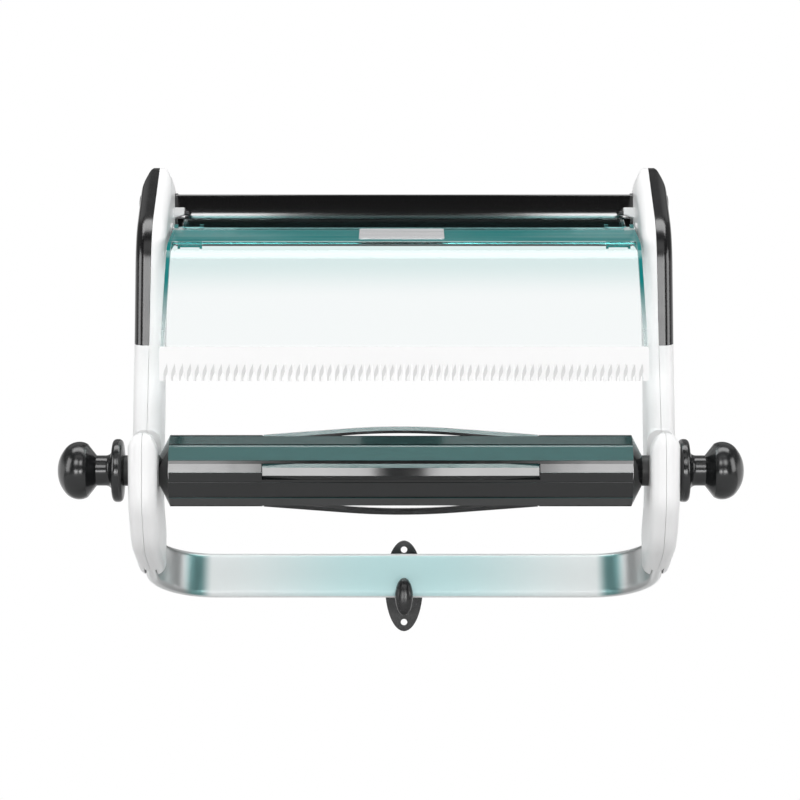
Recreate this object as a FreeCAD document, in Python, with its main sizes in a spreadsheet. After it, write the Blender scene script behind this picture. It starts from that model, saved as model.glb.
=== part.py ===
import FreeCAD, Part
import math
import os
import Sketcher

# A wall stand for large paper rolls. Two side arms hang from a crossbar, and a bent bar
# joins them at the bottom and rests on a wall hook. A hinged cover with a tear blade
# hangs between the arms, and a spindle with knobs drops into a slot in each arm.
# X runs to the right, Y into the wall and Z up. The wall is the plane Y = 0, and the
# origin is halfway between the two screw holes of the wall hook.

DIMENSIONS = {
    # the whole stand
    "bay_width": (460, "clear width between the side arms"),
    "spindle_depth": (230, "spindle axis from the wall"),
    "spindle_height": (124, "spindle axis above the origin"),
    "seat_gap": (0.1, "gap between pieces that seat in each other"),
    "running_gap": (0.05, "radial gap of a shaft in its bearing"),
    "face_gap": (0.3, "gap between faces that move past each other"),
    "cut_reach": (1, "how far a cut runs past the piece that it cuts"),
    # crossbar and wall rail
    "crossbar_bottom": (352, "underside of the crossbar above the origin"),
    "crossbar_height": (43, "height of the crossbar"),
    "crossbar_depth": (32, "depth of the crossbar from the wall"),
    "crossbar_wall": (2.5, "wall of the crossbar"),
    "crossbar_nose": (22, "radius of the crossbar's lower front edge"),
    "crossbar_brow": (3, "radius of the crossbar's upper front edge"),
    "end_plate_thickness": (3, "thickness of the crossbar's end plates"),
    "end_plate_margin": (1.2, "how far the end plates stand out of the crossbar"),
    "port_radius": (4.5, "outer radius of the crossbar's screw ports"),
    "port_merge": (0.5, "how far the ports sink into the crossbar's walls"),
    "lower_port_depth": (10, "lower screw port from the wall"),
    "port_screw_radius": (2.4, "radius of the crossbar's end screws"),
    "port_screw_depth": (16, "how deep the end screws go into the crossbar"),
    "screw_head_radius": (4.5, "radius of the screw heads"),
    "screw_head_height": (3, "height of the screw heads"),
    "rail_length": (390, "length of the wall rail"),
    "rail_thickness": (2.5, "thickness of the wall rail"),
    "rail_drop": (17.5, "height of the wall rail below its hook"),
    "rail_hook_reach": (2.7, "clear width of the wall rail's hook"),
    "rail_hook_rise": (8, "height of the wall rail's hook lip"),
    "rib_drop": (15, "length of the crossbar's hanging rib"),
    "rail_hole_drop": (10, "wall rail's holes below its hook"),
    "rail_hole_spacing": (350, "distance between the wall rail's holes"),
    "rail_hole_radius": (2.75, "radius of the wall rail's holes"),
    # side arms, outline from the wall and above the origin
    "arm_thickness": (27, "thickness of a side arm"),
    "arm_seam": (0.3, "width of the seam between an arm's two halves"),
    "arm_edge": (10, "rounding of the arm's long edges"),
    "arm_lean": (3, "how far the arm's outer face leans out at its crown"),
    "arm_wall_radius": (13, "rounding of the arm's corners at the wall"),
    "arm_wall_gap": (2, "distance of the arm's back from the wall"),
    "arm_heel_drop": (6, "how far the arm reaches below the crossbar"),
    "arm_tip_depth": (51, "arm tip from the wall"),
    "arm_tip_height": (422, "arm tip corner above the origin"),
    "arm_tip_radius": (13, "rounding of the arm tip"),
    "arm_crown_height": (402, "top of the arm at the wall above the origin"),
    "shoulder_depth": (158.7, "front shoulder corner from the wall"),
    "shoulder_height": (353, "front shoulder corner above the origin"),
    "shoulder_radius": (80, "rounding of the front shoulder"),
    "knee_back": (42, "front edge halfway down behind the spindle axis"),
    "knee_height": (241, "height of the halfway point of the front edge"),
    "knee_radius": (420, "rounding of the front edge halfway down"),
    "elbow_depth": (122, "back elbow corner from the wall"),
    "elbow_height": (308, "back elbow corner above the origin"),
    "elbow_radius": (45, "rounding of the back elbow"),
    "underarm_depth": (44, "corner under the crossbar from the wall"),
    "underarm_radius": (20, "rounding of the corner under the crossbar"),
    "back_back": (84, "bend of the back edge behind the spindle axis"),
    "back_height": (212, "height of the back edge's bend"),
    "back_radius": (120, "rounding of the back edge's bend"),
    "trim_height": (242, "lower end of the dark trim at the front edge"),
    "trim_slope": (12, "rise of the trim's lower end towards the wall, degrees"),
    # hooks at the arms' lower ends, from the spindle axis
    "hook_mouth": (36, "mouth of the slot above the spindle axis"),
    "prong_thickness": (30, "thickness of the hook's prong"),
    "prong_radius": (14, "rounding of the prong's top"),
    "mouth_radius": (6, "rounding where the arm's front edge meets the slot's mouth"),
    "breast_reach": (47, "hook's front corner in front of the spindle axis"),
    "breast_drop": (32, "hook's front corner below the spindle axis"),
    "breast_radius": (34, "rounding of the hook's front corner"),
    "chin_reach": (16, "hook's lower corner in front of the spindle axis"),
    "chin_drop": (76, "hook's lower corner below the spindle axis"),
    "chin_radius": (60, "rounding of the hook's lower corner"),
    "tail_back": (86, "hook's rear lower corner behind the spindle axis"),
    "tail_drop": (106.5, "hook's rear lower corner below the spindle axis"),
    "tail_radius": (14, "rounding of the hook's rear lower corner"),
    "heel_back": (97, "hook's rear corner behind the spindle axis"),
    "heel_drop": (60, "hook's rear corner below the spindle axis"),
    "heel_radius": (18, "rounding of the hook's rear corner"),
    "waist_back": (61, "waist of the arm behind the spindle axis"),
    "waist_drop": (24, "waist of the arm below the spindle axis"),
    "waist_radius": (24, "rounding of the waist"),
    "root_back": (80, "back edge above the waist behind the spindle axis"),
    "root_rise": (41, "back edge above the waist above the spindle axis"),
    "root_radius": (60, "rounding of the back edge above the waist"),
    # caps, lugs and pins on the arms
    "outer_crown_drop": (38, "height of the arched top of the arm's outer half"),
    "inner_crown_drop": (31, "height of the arched top of the arm's inner half"),
    "prong_outer_drop": (16, "height of the arched top of the prong's outer half"),
    "prong_inner_drop": (24, "height of the arched top of the prong's inner half"),
    # caps and screws in the arms
    "cap_radius": (11.5, "radius of the round cap on the arm's outer face"),
    "cap_rise": (7, "how far the cap stands out of the arm's outer face"),
    "cap_bevel": (3, "bevel of the cap's edge"),
    "cap_depth": (50, "cap from the wall"),
    "cap_height": (384.5, "cap above the origin"),
    "cap_screw_radius": (2.5, "radius of the screw under the cap"),
    "cap_screw_bite": (6, "how far the screw under the cap reaches past the arm's seam"),
    "end_screw_sink": (1, "gap between the end screws' heads and the arm's seam"),
    "bar_screw_sink": (5, "how far the bar's screws are sunk in the arm's inner face"),
    "bar_screw_bite": (9, "how far the bar's screws reach past the arm's seam"),
    "lug_reach": (10.5, "how far the stop lug stands out of the arm"),
    "lug_height": (381, "flat top of the stop lug above the origin"),
    "lug_thickness": (10, "thickness of the stop lug at the arm"),
    "lug_tip_thickness": (7, "thickness of the stop lug at its tip"),
    "lug_length": (13, "length of the stop lug along the arm"),
    "stop_depth": (45, "stop pin from the wall"),
    "stop_height": (375.5, "stop pin above the origin"),
    "stop_radius": (2.4, "radius of the stop pin"),
    "stop_bevel": (0.8, "bevel of the stop pin's tip"),
    "stop_reach": (5, "how far the stop pin stands out of its lug"),
    "pin_seat": (6, "how deep pins sit in the arm"),
    # bent bar
    "bar_width": (44.6, "width of the bent bar"),
    "bar_thickness": (12, "thickness of the bent bar"),
    "bar_bend": (58, "bend radius of the bar's middle line"),
    "bar_tilt": (21.5, "rise of the bar's legs towards the front, degrees"),
    "bar_back": (145, "bar's cross run behind the spindle axis"),
    "bar_drop": (108.4, "bar's cross run below the spindle axis"),
    "bar_leg": (124, "length of the bar's legs from the cross run"),
    "bar_screw_radius": (3, "radius of the bar's screws"),
    "bar_screw_inset": (12, "bar's end screw from the end of its leg"),
    "bar_screw_spacing": (26, "distance between the bar's screws"),
    "bar_channel_start": (20, "start of the arm's channel for the bar from the cross run"),
    # wall hook
    "hook_plate_height": (91.6, "height of the wall hook's oval plate"),
    "hook_plate_width": (38.4, "width of the wall hook's oval plate"),
    "hook_plate_thickness": (5, "thickness of the wall hook's plate"),
    "hook_hole_spacing": (73.4, "distance between the wall hook's holes"),
    "hook_hole_radius": (3.3, "radius of the wall hook's holes"),
    "post_sink": (1, "how far the post runs into the head"),
    "post_width": (10, "width of the wall hook's post"),
    "post_height": (15, "height of the wall hook's post at its head"),
    "post_root": (23, "height of the wall hook's post at its plate"),
    "head_height": (36.2, "height of the hook's oval head"),
    "head_width": (17.4, "width of the hook's oval head"),
    "head_thickness": (7, "thickness of the hook's oval head"),
    "head_rise": (1.8, "middle of the head above the bar's underside"),
    "head_dome": (4, "rounding of the hook's oval head"),
    # cover and tear blade
    "cover_side_gap": (3.5, "gap between the cover and each arm"),
    "cover_thickness": (3, "thickness of the cover's sheet"),
    "cover_rim": (9, "depth of the cover's side rims with the sheet"),
    "cover_rim_width": (3, "width of the cover's side rims"),
    "hinge_depth": (85, "cover's hinge axis from the wall"),
    "hinge_height": (358, "cover's hinge axis above the origin"),
    "cover_rear_reach": (6, "sheet's rear edge in front of the hinge axis"),
    "cover_rear_drop": (0, "sheet's rear edge below the hinge axis"),
    "cover_bend_reach": (105.2, "cover's bend in front of the hinge axis"),
    "cover_bend_drop": (21, "cover's bend below the hinge axis"),
    "cover_bend_radius": (45, "rounding of the cover's bend"),
    "cover_lip_reach": (188.5, "cover's front lip in front of the hinge axis"),
    "cover_lip_top": (118.5, "top of the front lip below the hinge axis"),
    "cover_lip_radius": (10, "rounding above the front lip"),
    "cover_lip_bottom": (134, "lower edge of the front lip below the hinge axis"),
    "rear_lip_rise": (9, "height of the rear lip above the hinge axis"),
    "rear_lip_inset": (9.5, "distance of the rear lip's ends from the cover's sides"),
    "ear_radius": (4.6, "outer radius of the hinge ears"),
    "ear_width": (4, "width of a hinge ear"),
    "ear_spacing": (25, "distance between a hinge's two ears"),
    "ear_foot": (34, "length of the ears' ribs under the sheet"),
    "ear_corner": (3, "rounding of the ears' ribs"),
    "ear_rib": (9, "depth of the ears' ribs under the sheet"),
    "hinge_pin_radius": (2, "radius of the hinge pins"),
    "hinge_boss_radius": (6, "radius of the hinge pin's boss on the arm"),
    "hinge_boss_reach": (1.8, "how far the hinge boss stands out of the arm"),
    "tail_width": (4, "width of the cover's stop tail"),
    "tail_thickness": (6, "thickness of the cover's stop tail"),
    "plate_width": (82.4, "width of the bare plate on the cover"),
    "plate_length": (58, "length of the bare plate on the cover"),
    "plate_thickness": (0.8, "thickness of the bare plate on the cover"),
    "plate_corner": (3, "rounding of the bare plate's corners"),
    "plate_inset": (10, "bare plate in front of the cover's rear lip"),
    "plate_shift": (2.3, "middle of the bare plate left of the cover's middle"),
    "blade_rise": (1, "blade's upper edge above the top of the front lip"),
    "blade_height": (32, "height of the tear blade with its teeth"),
    "blade_band": (15.5, "height of the tear blade above its teeth"),
    "blade_thickness": (2.6, "thickness of the tear blade"),
    "blade_corner": (2.4, "rounding of the tear blade's corners"),
    "blade_overhang": (0.7, "how far the blade stands out past the cover's sides"),
    "tooth_pitch": (7.23, "distance between two teeth of the blade"),
    "tooth_gap": (4.2, "width of the gap between two teeth"),
    "blade_end": (5, "plain ends of the tear blade"),
    "stud_drop": (9, "studs that hold the blade below its upper edge"),
    "stud_radius": (2, "radius of the studs that hold the blade"),
    "stud_sink": (1, "how far the studs run into their heads"),
    "stud_head_height": (1.5, "height of the studs' heads"),
    "stud_spacing": (106, "distance between two studs"),
    # spindle
    "spindle_shift": (3, "how far the spindle sits to the left within its end play"),
    "core_radius": (34.6, "corner radius of the spindle's body"),
    "core_taper": (10.8, "length of the tapered ends of the spindle's body"),
    "core_nose_radius": (15, "radius of the body's ends"),
    "core_end_gap": (3.5, "gap between the body's end and the arm when centred"),
    "groove_width": (3.4, "width of the grooves along the body"),
    "groove_depth": (1.4, "depth of the grooves along the body"),
    "tube_radius": (9, "radius of the steel tube"),
    "tube_wall": (1.5, "wall of the steel tube"),
    "tube_seat": (42, "length of the tube inside a knob"),
    "bush_radius": (14.4, "radius of the spindle's bushes"),
    "flange_radius": (29.7, "radius of the knob's flange"),
    "flange_thickness": (10.5, "thickness of the knob's flange"),
    "flange_edge": (4, "rounding of the flange's rim"),
    "flange_slant": (1.4, "slant of the flange's two faces"),
    "neck_radius": (14.3, "radius of the knob's neck"),
    "neck_length": (31.8, "flange to the middle of the ball"),
    "neck_fillet": (6, "rounding between the flange and the neck"),
    "neck_cone_start": (16.3, "start of the neck's cone before the middle of the ball"),
    "neck_cone_end": (7.8, "end of the neck's cone before the middle of the ball"),
    "neck_cone_radius": (25.1, "radius of the cone's end"),
    "ball_shoulder": (4, "corner of the ball's outline before its middle"),
    "ball_shoulder_radius": (14, "rounding of this corner"),
    "ball_radius": (27.2, "radius of the knob's ball"),
    "ball_half_length": (20.3, "half length of the knob's ball"),
    "shell_screw_radius": (2.2, "radius of the screws that join the body's halves"),
    "shell_screw_clear": (18, "nearer screws of the body's halves beyond a leaf's end"),
    "shell_screw_pitch": (28, "between the two screws at each end of the body"),
    "shell_screw_offset": (19, "screws of the body's halves behind the axis"),
    "shell_screw_head": (3.8, "head radius of the screws of the body's halves"),
    "shell_screw_drop": (21, "heads of these screws below the axis"),
    "shell_screw_rise": (9, "tips of these screws above the axis"),
    # leaf springs
    "leaf_half_length": (129, "half length of a leaf spring"),
    "leaf_width": (14.7, "width of a leaf spring"),
    "leaf_flat": (7.4, "width of a leaf spring's flat top"),
    "leaf_thickness": (6.3, "thickness of a leaf spring"),
    "leaf_crown": (43.4, "corner of the leaf spring's bow above the axis"),
    "leaf_end": (33.8, "outer face of the leaf spring's ends above the axis"),
    "leaf_bow": (680, "radius of the leaf spring's bow"),
    "leaf_travel": (7, "how far a leaf spring presses in"),
    "leaf_end_gap": (1, "gap at each end of a leaf spring"),
}

doc = FreeCAD.newDocument("roll_stand")
sheet = doc.addObject("Spreadsheet::Sheet", "sizes")
for row, (alias, (number, meaning)) in enumerate(DIMENSIONS.items(), start=1):
    sheet.set(f"A{row}", meaning)
    sheet.set(f"B{row}", str(number))
    sheet.setAlias(f"B{row}", alias)
doc.recompute()


class Size:
    """A number together with the spreadsheet formula that gives it."""

    def __init__(self, value, formula):
        self.value = value
        self.formula = formula

    def __add__(self, other):
        return combined(self, "+", other)

    def __radd__(self, other):
        return combined(other, "+", self)

    def __sub__(self, other):
        return combined(self, "-", other)

    def __rsub__(self, other):
        return combined(other, "-", self)

    def __mul__(self, other):
        return combined(self, "*", other)

    def __rmul__(self, other):
        return combined(other, "*", self)

    def __truediv__(self, other):
        return combined(self, "/", other)

    def __neg__(self):
        return combined(0, "-", self)


def as_size(item):
    if isinstance(item, Size):
        return item
    return Size(float(item), str(item))


def combined(left, sign, right):
    left = as_size(left)
    right = as_size(right)
    results = {
        "+": lambda: left.value + right.value,
        "-": lambda: left.value - right.value,
        "*": lambda: left.value * right.value,
        "/": lambda: left.value / right.value,
    }
    return Size(results[sign](), f"({left.formula} {sign} {right.formula})")


def sine(angle):
    return Size(math.sin(math.radians(angle.value)), f"sin({angle.formula})")


def cosine(angle):
    return Size(math.cos(math.radians(angle.value)), f"cos({angle.formula})")


def tangent(angle):
    return Size(math.tan(math.radians(angle.value)), f"tan({angle.formula})")


def arc_tangent(ratio):
    return Size(math.degrees(math.atan(ratio.value)), f"(atan({ratio.formula}) / 1 deg)")


class SizeBook:
    """Gives each spreadsheet cell by its alias."""

    def __getattr__(self, alias):
        return Size(float(sheet.get(alias)), f"sizes.{alias}")


size = SizeBook()

# Values that several pieces share
inner_face = size.bay_width / 2
outer_face = inner_face + size.arm_thickness
seam = inner_face + size.arm_thickness / 2
crossbar_top = size.crossbar_bottom + size.crossbar_height
crossbar_half = inner_face - size.end_plate_thickness
slot_half = size.bush_radius + size.face_gap
cover_half = inner_face - size.cover_side_gap
core_end = inner_face - size.core_end_gap
flange_face = outer_face + size.spindle_shift + size.face_gap
ball_centre = flange_face + size.neck_length + size.flange_thickness
knee_depth = size.spindle_depth - size.knee_back
back_depth = size.spindle_depth - size.back_back
bar_depth = size.spindle_depth - size.bar_back
bar_height = size.spindle_height - size.bar_drop
bar_edge_radius = size.bar_thickness / 2
bar_edge_offset = size.bar_width / 2 - bar_edge_radius
bar_underside = bar_height - bar_edge_offset * cosine(size.bar_tilt) - bar_edge_radius
bar_front = bar_depth + bar_edge_offset * sine(size.bar_tilt) + bar_edge_radius


def bind(thing, path, item):
    """Ties one property to a formula of the spreadsheet."""
    thing.setExpression(path, as_size(item).formula)


def place(thing, x=0, y=0, z=0):
    bind(thing, "Placement.Base.x", x)
    bind(thing, "Placement.Base.y", y)
    bind(thing, "Placement.Base.z", z)


def new_body(label):
    body = doc.addObject("PartDesign::Body", label)
    body.Label = label
    return body


def attach(feature, body, plane, offset):
    """Puts a sketch or primitive on an origin plane: YZ faces +X, XZ faces -Y, XY faces +Z."""
    support = [item for item in body.Origin.OriginFeatures if item.Role == plane][0]
    feature.AttachmentSupport = [(support, "")]
    feature.MapMode = "FlatFace"
    bind(feature, "AttachmentOffset.Base.z", offset)


def new_sketch(body, name, plane, offset=0):
    sketch = body.newObject("Sketcher::SketchObject", name)
    attach(sketch, body, plane, offset)
    return sketch


def fix(sketch, kind, *terms):
    """Adds a constraint whose last term is a size."""
    item = as_size(terms[-1])
    number = sketch.addConstraint(Sketcher.Constraint(kind, *terms[:-1], item.value))
    sketch.setExpression(f"Constraints[{number}]", item.formula)


def fix_point(sketch, geometry, end, x, y):
    fix(sketch, "DistanceX", -1, 1, geometry, end, x)
    fix(sketch, "DistanceY", -1, 1, geometry, end, y)


def draw_run(sketch, corners, closed=True):
    """Straight runs between corners (x, y) or (x, y, radius), joined by tangent arcs."""
    count = len(corners)
    points = [FreeCAD.Vector(as_size(c[0]).value, as_size(c[1]).value, 0) for c in corners]
    starts = list(points)
    ends = list(points)
    arcs = {}
    for i, corner in enumerate(corners):
        if len(corner) < 3:
            continue
        radius = as_size(corner[2]).value
        back = (points[i - 1] - points[i]).normalize()
        ahead = (points[(i + 1) % count] - points[i]).normalize()
        half_angle = back.getAngle(ahead) / 2
        reach = radius / math.tan(half_angle)
        starts[i] = points[i] + back * reach
        ends[i] = points[i] + ahead * reach
        centre = points[i] + (back + ahead).normalize() * (radius / math.sin(half_angle))
        turns_left = back.cross(ahead).z < 0
        first, last = (starts[i], ends[i]) if turns_left else (ends[i], starts[i])
        from_angle = math.atan2(first.y - centre.y, first.x - centre.x)
        to_angle = math.atan2(last.y - centre.y, last.x - centre.x)
        if to_angle < from_angle:
            to_angle += 2 * math.pi
        circle = Part.Circle(centre, FreeCAD.Vector(0, 0, 1), radius)
        arc = sketch.addGeometry(Part.ArcOfCircle(circle, from_angle, to_angle), False)
        arcs[i] = (arc, 1 if turns_left else 2, 2 if turns_left else 1)
    lines = {}
    for i in range(count if closed else count - 1):
        line = Part.LineSegment(ends[i], starts[(i + 1) % count])
        lines[i] = sketch.addGeometry(line, False)
    for i, corner in enumerate(corners):
        line_in = lines.get((i - 1) % count)
        line_out = lines.get(i)
        if i in arcs:
            arc, arc_start, arc_end = arcs[i]
            sketch.addConstraint(Sketcher.Constraint("Tangent", line_in, 2, arc, arc_start))
            sketch.addConstraint(Sketcher.Constraint("Tangent", arc, arc_end, line_out, 1))
            fix(sketch, "Radius", arc, corner[2])
            mark = sketch.addGeometry(Part.Point(points[i]), True)
            sketch.addConstraint(Sketcher.Constraint("PointOnObject", mark, 1, line_in))
            sketch.addConstraint(Sketcher.Constraint("PointOnObject", mark, 1, line_out))
            fix_point(sketch, mark, 1, corner[0], corner[1])
        elif line_in is None:
            fix_point(sketch, line_out, 1, corner[0], corner[1])
        else:
            fix_point(sketch, line_in, 2, corner[0], corner[1])
            if line_out is not None:
                joint = Sketcher.Constraint("Coincident", line_in, 2, line_out, 1)
                sketch.addConstraint(joint)


def draw_rectangle(sketch, left, bottom, right, top):
    draw_run(sketch, [(left, bottom), (right, bottom), (right, top), (left, top)])


def draw_circle(sketch, x, y, radius):
    centre = FreeCAD.Vector(as_size(x).value, as_size(y).value, 0)
    circle = Part.Circle(centre, FreeCAD.Vector(0, 0, 1), as_size(radius).value)
    number = sketch.addGeometry(circle, False)
    fix_point(sketch, number, 3, x, y)
    fix(sketch, "Radius", number, radius)


def extrude(body, kind, sketch, length, both_ways=False, reverse=False):
    feature = body.newObject(f"PartDesign::{kind}", f"{body.Label}_{kind}")
    feature.Profile = sketch
    feature.SideType = "Symmetric" if both_ways else "One side"
    feature.Reversed = reverse
    bind(feature, "Length", length)
    return feature


def pad(body, sketch, length, both_ways=False, reverse=False):
    return extrude(body, "Pad", sketch, length, both_ways, reverse)


def pocket(body, sketch, length, both_ways=False, reverse=False):
    """Cuts along the sketch's normal, or against it when reversed, and must take some away."""
    doc.recompute()
    before = body.Shape.Volume
    feature = extrude(body, "Pocket", sketch, length, both_ways, not reverse)
    doc.recompute()
    if body.Shape.Volume > before - LEAST_CUT:
        raise RuntimeError(f"a pocket in {body.Label} cuts nothing")
    return feature


def revolve(body, sketch, axis="H_Axis"):
    feature = body.newObject("PartDesign::Revolution", f"{body.Label}_turned")
    feature.Profile = sketch
    feature.ReferenceAxis = (sketch, [axis])
    feature.Angle = 360
    return feature


def dress_edges(body, kind, amount, chosen):
    """Rounds or bevels the edges of the body's last feature for which chosen(edge) is true."""
    doc.recompute()
    base = body.Tip
    names = [f"Edge{i}" for i, edge in enumerate(base.Shape.Edges, start=1) if chosen(edge)]
    if not names:
        raise RuntimeError(f"no edge to dress in {body.Label}")
    feature = body.newObject(f"PartDesign::{kind}", f"{body.Label}_{kind}")
    feature.Base = (base, names)
    bind(feature, "Radius" if kind == "Fillet" else "Size", amount)
    return feature


def round_edges(body, radius, chosen):
    return dress_edges(body, "Fillet", radius, chosen)


def edge_in_plane(direction, level):
    """Tells the edges that lie wholly in one plane square to an axis."""
    number = as_size(level).value

    def chosen(edge):
        box = edge.BoundBox
        low = getattr(box, direction + "Min")
        high = getattr(box, direction + "Max")
        return abs(low - number) < 1e-4 and abs(high - number) < 1e-4

    return chosen


def mirrored(source, label, middle=0):
    """The other side's copy of a piece, mirrored left to right about x = middle."""
    copy = doc.addObject("Part::Mirroring", label)
    copy.Label = label
    copy.Source = source
    copy.Normal = FreeCAD.Vector(1, 0, 0)
    bind(copy, "Base.x", middle)
    return copy


def joined(label, kind, members):
    """One piece or group made of several objects by a boolean or a compound."""
    result = doc.addObject(kind, label)
    result.Label = label
    if kind == "Part::Compound":
        result.Links = members
    elif kind == "Part::MultiFuse":
        result.Shapes = members
    else:
        result.Base, result.Tool = members
    return result


def cylinder(name, radius, length, x, y, z, toward):
    """A cylinder from (x, y, z) along +X, -X, +Y, -Y or +Z."""
    solid = doc.addObject("Part::Cylinder", name)
    bind(solid, "Radius", radius)
    bind(solid, "Height", length)
    turns = {
        "+X": (FreeCAD.Vector(0, 1, 0), 90),
        "-X": (FreeCAD.Vector(0, 1, 0), -90),
        "+Y": (FreeCAD.Vector(1, 0, 0), -90),
        "-Y": (FreeCAD.Vector(1, 0, 0), 90),
        "+Z": (FreeCAD.Vector(0, 0, 1), 0),
    }
    solid.Placement = FreeCAD.Placement(FreeCAD.Vector(), FreeCAD.Rotation(*turns[toward]))
    place(solid, x, y, z)
    return solid


def headed_screw(name, radius, length, x, y, z, toward):
    """A screw whose head stands behind (x, y, z) and whose shank runs toward its tip."""
    step = {"+X": 1, "-X": -1}[toward]
    shank = cylinder(f"{name}_shank", radius, length, x, y, z, toward)
    head_x = x - step * size.screw_head_height
    head = cylinder(
        f"{name}_head", size.screw_head_radius, size.screw_head_height, head_x, y, z, toward
    )
    return joined(name, "Part::MultiFuse", [shank, head])


# A quarter of an oval drawn as two arcs: where their corners lie, and the arcs' radii, as
# shares of its half sizes
OVAL_CORNER = 0.414
OVAL_TOP = 0.63
OVAL_SIDE = 1.3
BALL_TOP = 0.82
BALL_END = 1.1

# The least that a cut must take away, in cubic mm
LEAST_CUT = 0.01

pieces = []


def keep(piece):
    pieces.append(piece)
    return piece


def keep_pair(right_piece, middle=0):
    """Keeps a right-hand piece and its mirrored left-hand copy."""
    keep(right_piece)
    keep(mirrored(right_piece, right_piece.Label.replace("right", "left"), middle))


# Crossbar: a channel open to the wall, with a hanging rib and two screw ports

port_inset = size.crossbar_wall + size.port_radius - size.port_merge
port_places = [
    (size.crossbar_depth - port_inset, crossbar_top - port_inset),
    (size.lower_port_depth, size.crossbar_bottom + port_inset),
]
rib_front = size.rail_thickness + size.rail_hook_reach - size.seat_gap
rib_bottom = crossbar_top - size.crossbar_wall - size.rib_drop
rail_hole_height = rib_bottom - size.seat_gap - size.rail_thickness - size.rail_hole_drop


def make_crossbar():
    body = new_body("crossbar")
    outline = new_sketch(body, "crossbar_outline", "YZ_Plane")
    draw_run(
        outline,
        [
            (0, size.crossbar_bottom),
            (0, crossbar_top),
            (-size.crossbar_depth, crossbar_top, size.crossbar_brow),
            (-size.crossbar_depth, size.crossbar_bottom, size.crossbar_nose),
        ],
    )
    pad(body, outline, 2 * crossbar_half, both_ways=True)
    channel = new_sketch(body, "crossbar_channel", "YZ_Plane")
    inner_front = size.crossbar_wall - size.crossbar_depth
    inner_bottom = size.crossbar_bottom + size.crossbar_wall
    draw_run(
        channel,
        [
            (size.cut_reach, inner_bottom),
            (size.cut_reach, crossbar_top - size.crossbar_wall),
            (inner_front, crossbar_top - size.crossbar_wall),
            (inner_front, inner_bottom, size.crossbar_nose - size.crossbar_wall),
        ],
    )
    cut_length = 2 * (crossbar_half + size.cut_reach)
    pocket(body, channel, cut_length, both_ways=True)
    rib = new_sketch(body, "crossbar_rib", "YZ_Plane")
    rib_back = size.rail_thickness + size.seat_gap
    rib_top = crossbar_top - size.crossbar_wall / 2
    draw_rectangle(rib, -rib_front, rib_bottom, -rib_back, rib_top)
    pad(body, rib, 2 * crossbar_half, both_ways=True)
    for number, (depth, height) in enumerate(port_places):
        port = new_sketch(body, f"crossbar_port_{number}", "YZ_Plane")
        draw_circle(port, -depth, height, size.port_radius)
        pad(body, port, 2 * crossbar_half, both_ways=True)
    for number, (depth, height) in enumerate(port_places):
        bore = new_sketch(body, f"crossbar_bore_{number}", "YZ_Plane")
        draw_circle(bore, -depth, height, size.port_screw_radius + size.seat_gap)
        pocket(body, bore, cut_length, both_ways=True)
    keep(body)


def make_end_plate():
    body = new_body("right_end_plate")
    outline = new_sketch(body, "end_plate_outline", "YZ_Plane", crossbar_half)
    front = -size.crossbar_depth - size.end_plate_margin
    bottom = size.crossbar_bottom - size.end_plate_margin
    top = crossbar_top + size.end_plate_margin
    draw_run(
        outline,
        [
            (0, bottom),
            (0, top),
            (front, top, size.crossbar_brow),
            (front, bottom, size.crossbar_nose),
        ],
    )
    pad(body, outline, size.end_plate_thickness)
    for number, (depth, height) in enumerate(port_places):
        hole = new_sketch(body, f"end_plate_hole_{number}", "YZ_Plane", crossbar_half)
        draw_circle(hole, -depth, height, size.port_screw_radius + size.seat_gap)
        pocket(body, hole, size.end_plate_thickness)
    keep_pair(body)


def make_wall_rail():
    """A folded strip that is screwed to the wall and carries the crossbar's rib."""
    body = new_body("wall_rail")
    profile = new_sketch(body, "rail_profile", "YZ_Plane")
    floor_top = rib_bottom - size.seat_gap
    floor_bottom = floor_top - size.rail_thickness
    rail_bottom = floor_bottom - size.rail_drop
    lip_back = -size.rail_thickness - size.rail_hook_reach
    lip_front = lip_back - size.rail_thickness
    draw_run(
        profile,
        [
            (0, rail_bottom),
            (0, floor_top + size.rail_hook_rise),
            (-size.rail_thickness, floor_top + size.rail_hook_rise),
            (-size.rail_thickness, floor_top),
            (lip_back, floor_top),
            (lip_back, floor_top + size.rail_hook_rise),
            (lip_front, floor_top + size.rail_hook_rise),
            (lip_front, floor_bottom),
            (-size.rail_thickness, floor_bottom),
            (-size.rail_thickness, rail_bottom),
        ],
    )
    pad(body, profile, size.rail_length, both_ways=True)
    holes = new_sketch(body, "rail_holes", "XZ_Plane")
    for side in (-1, 1):
        x = side * size.rail_hole_spacing / 2
        draw_circle(holes, x, rail_hole_height, size.rail_hole_radius)
    pocket(body, holes, size.rail_thickness + size.cut_reach)
    keep(body)


# Side arms: each is two moulded halves, and the outer half's upper part is a dark trim


prong_top = size.spindle_height + size.hook_mouth


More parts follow.
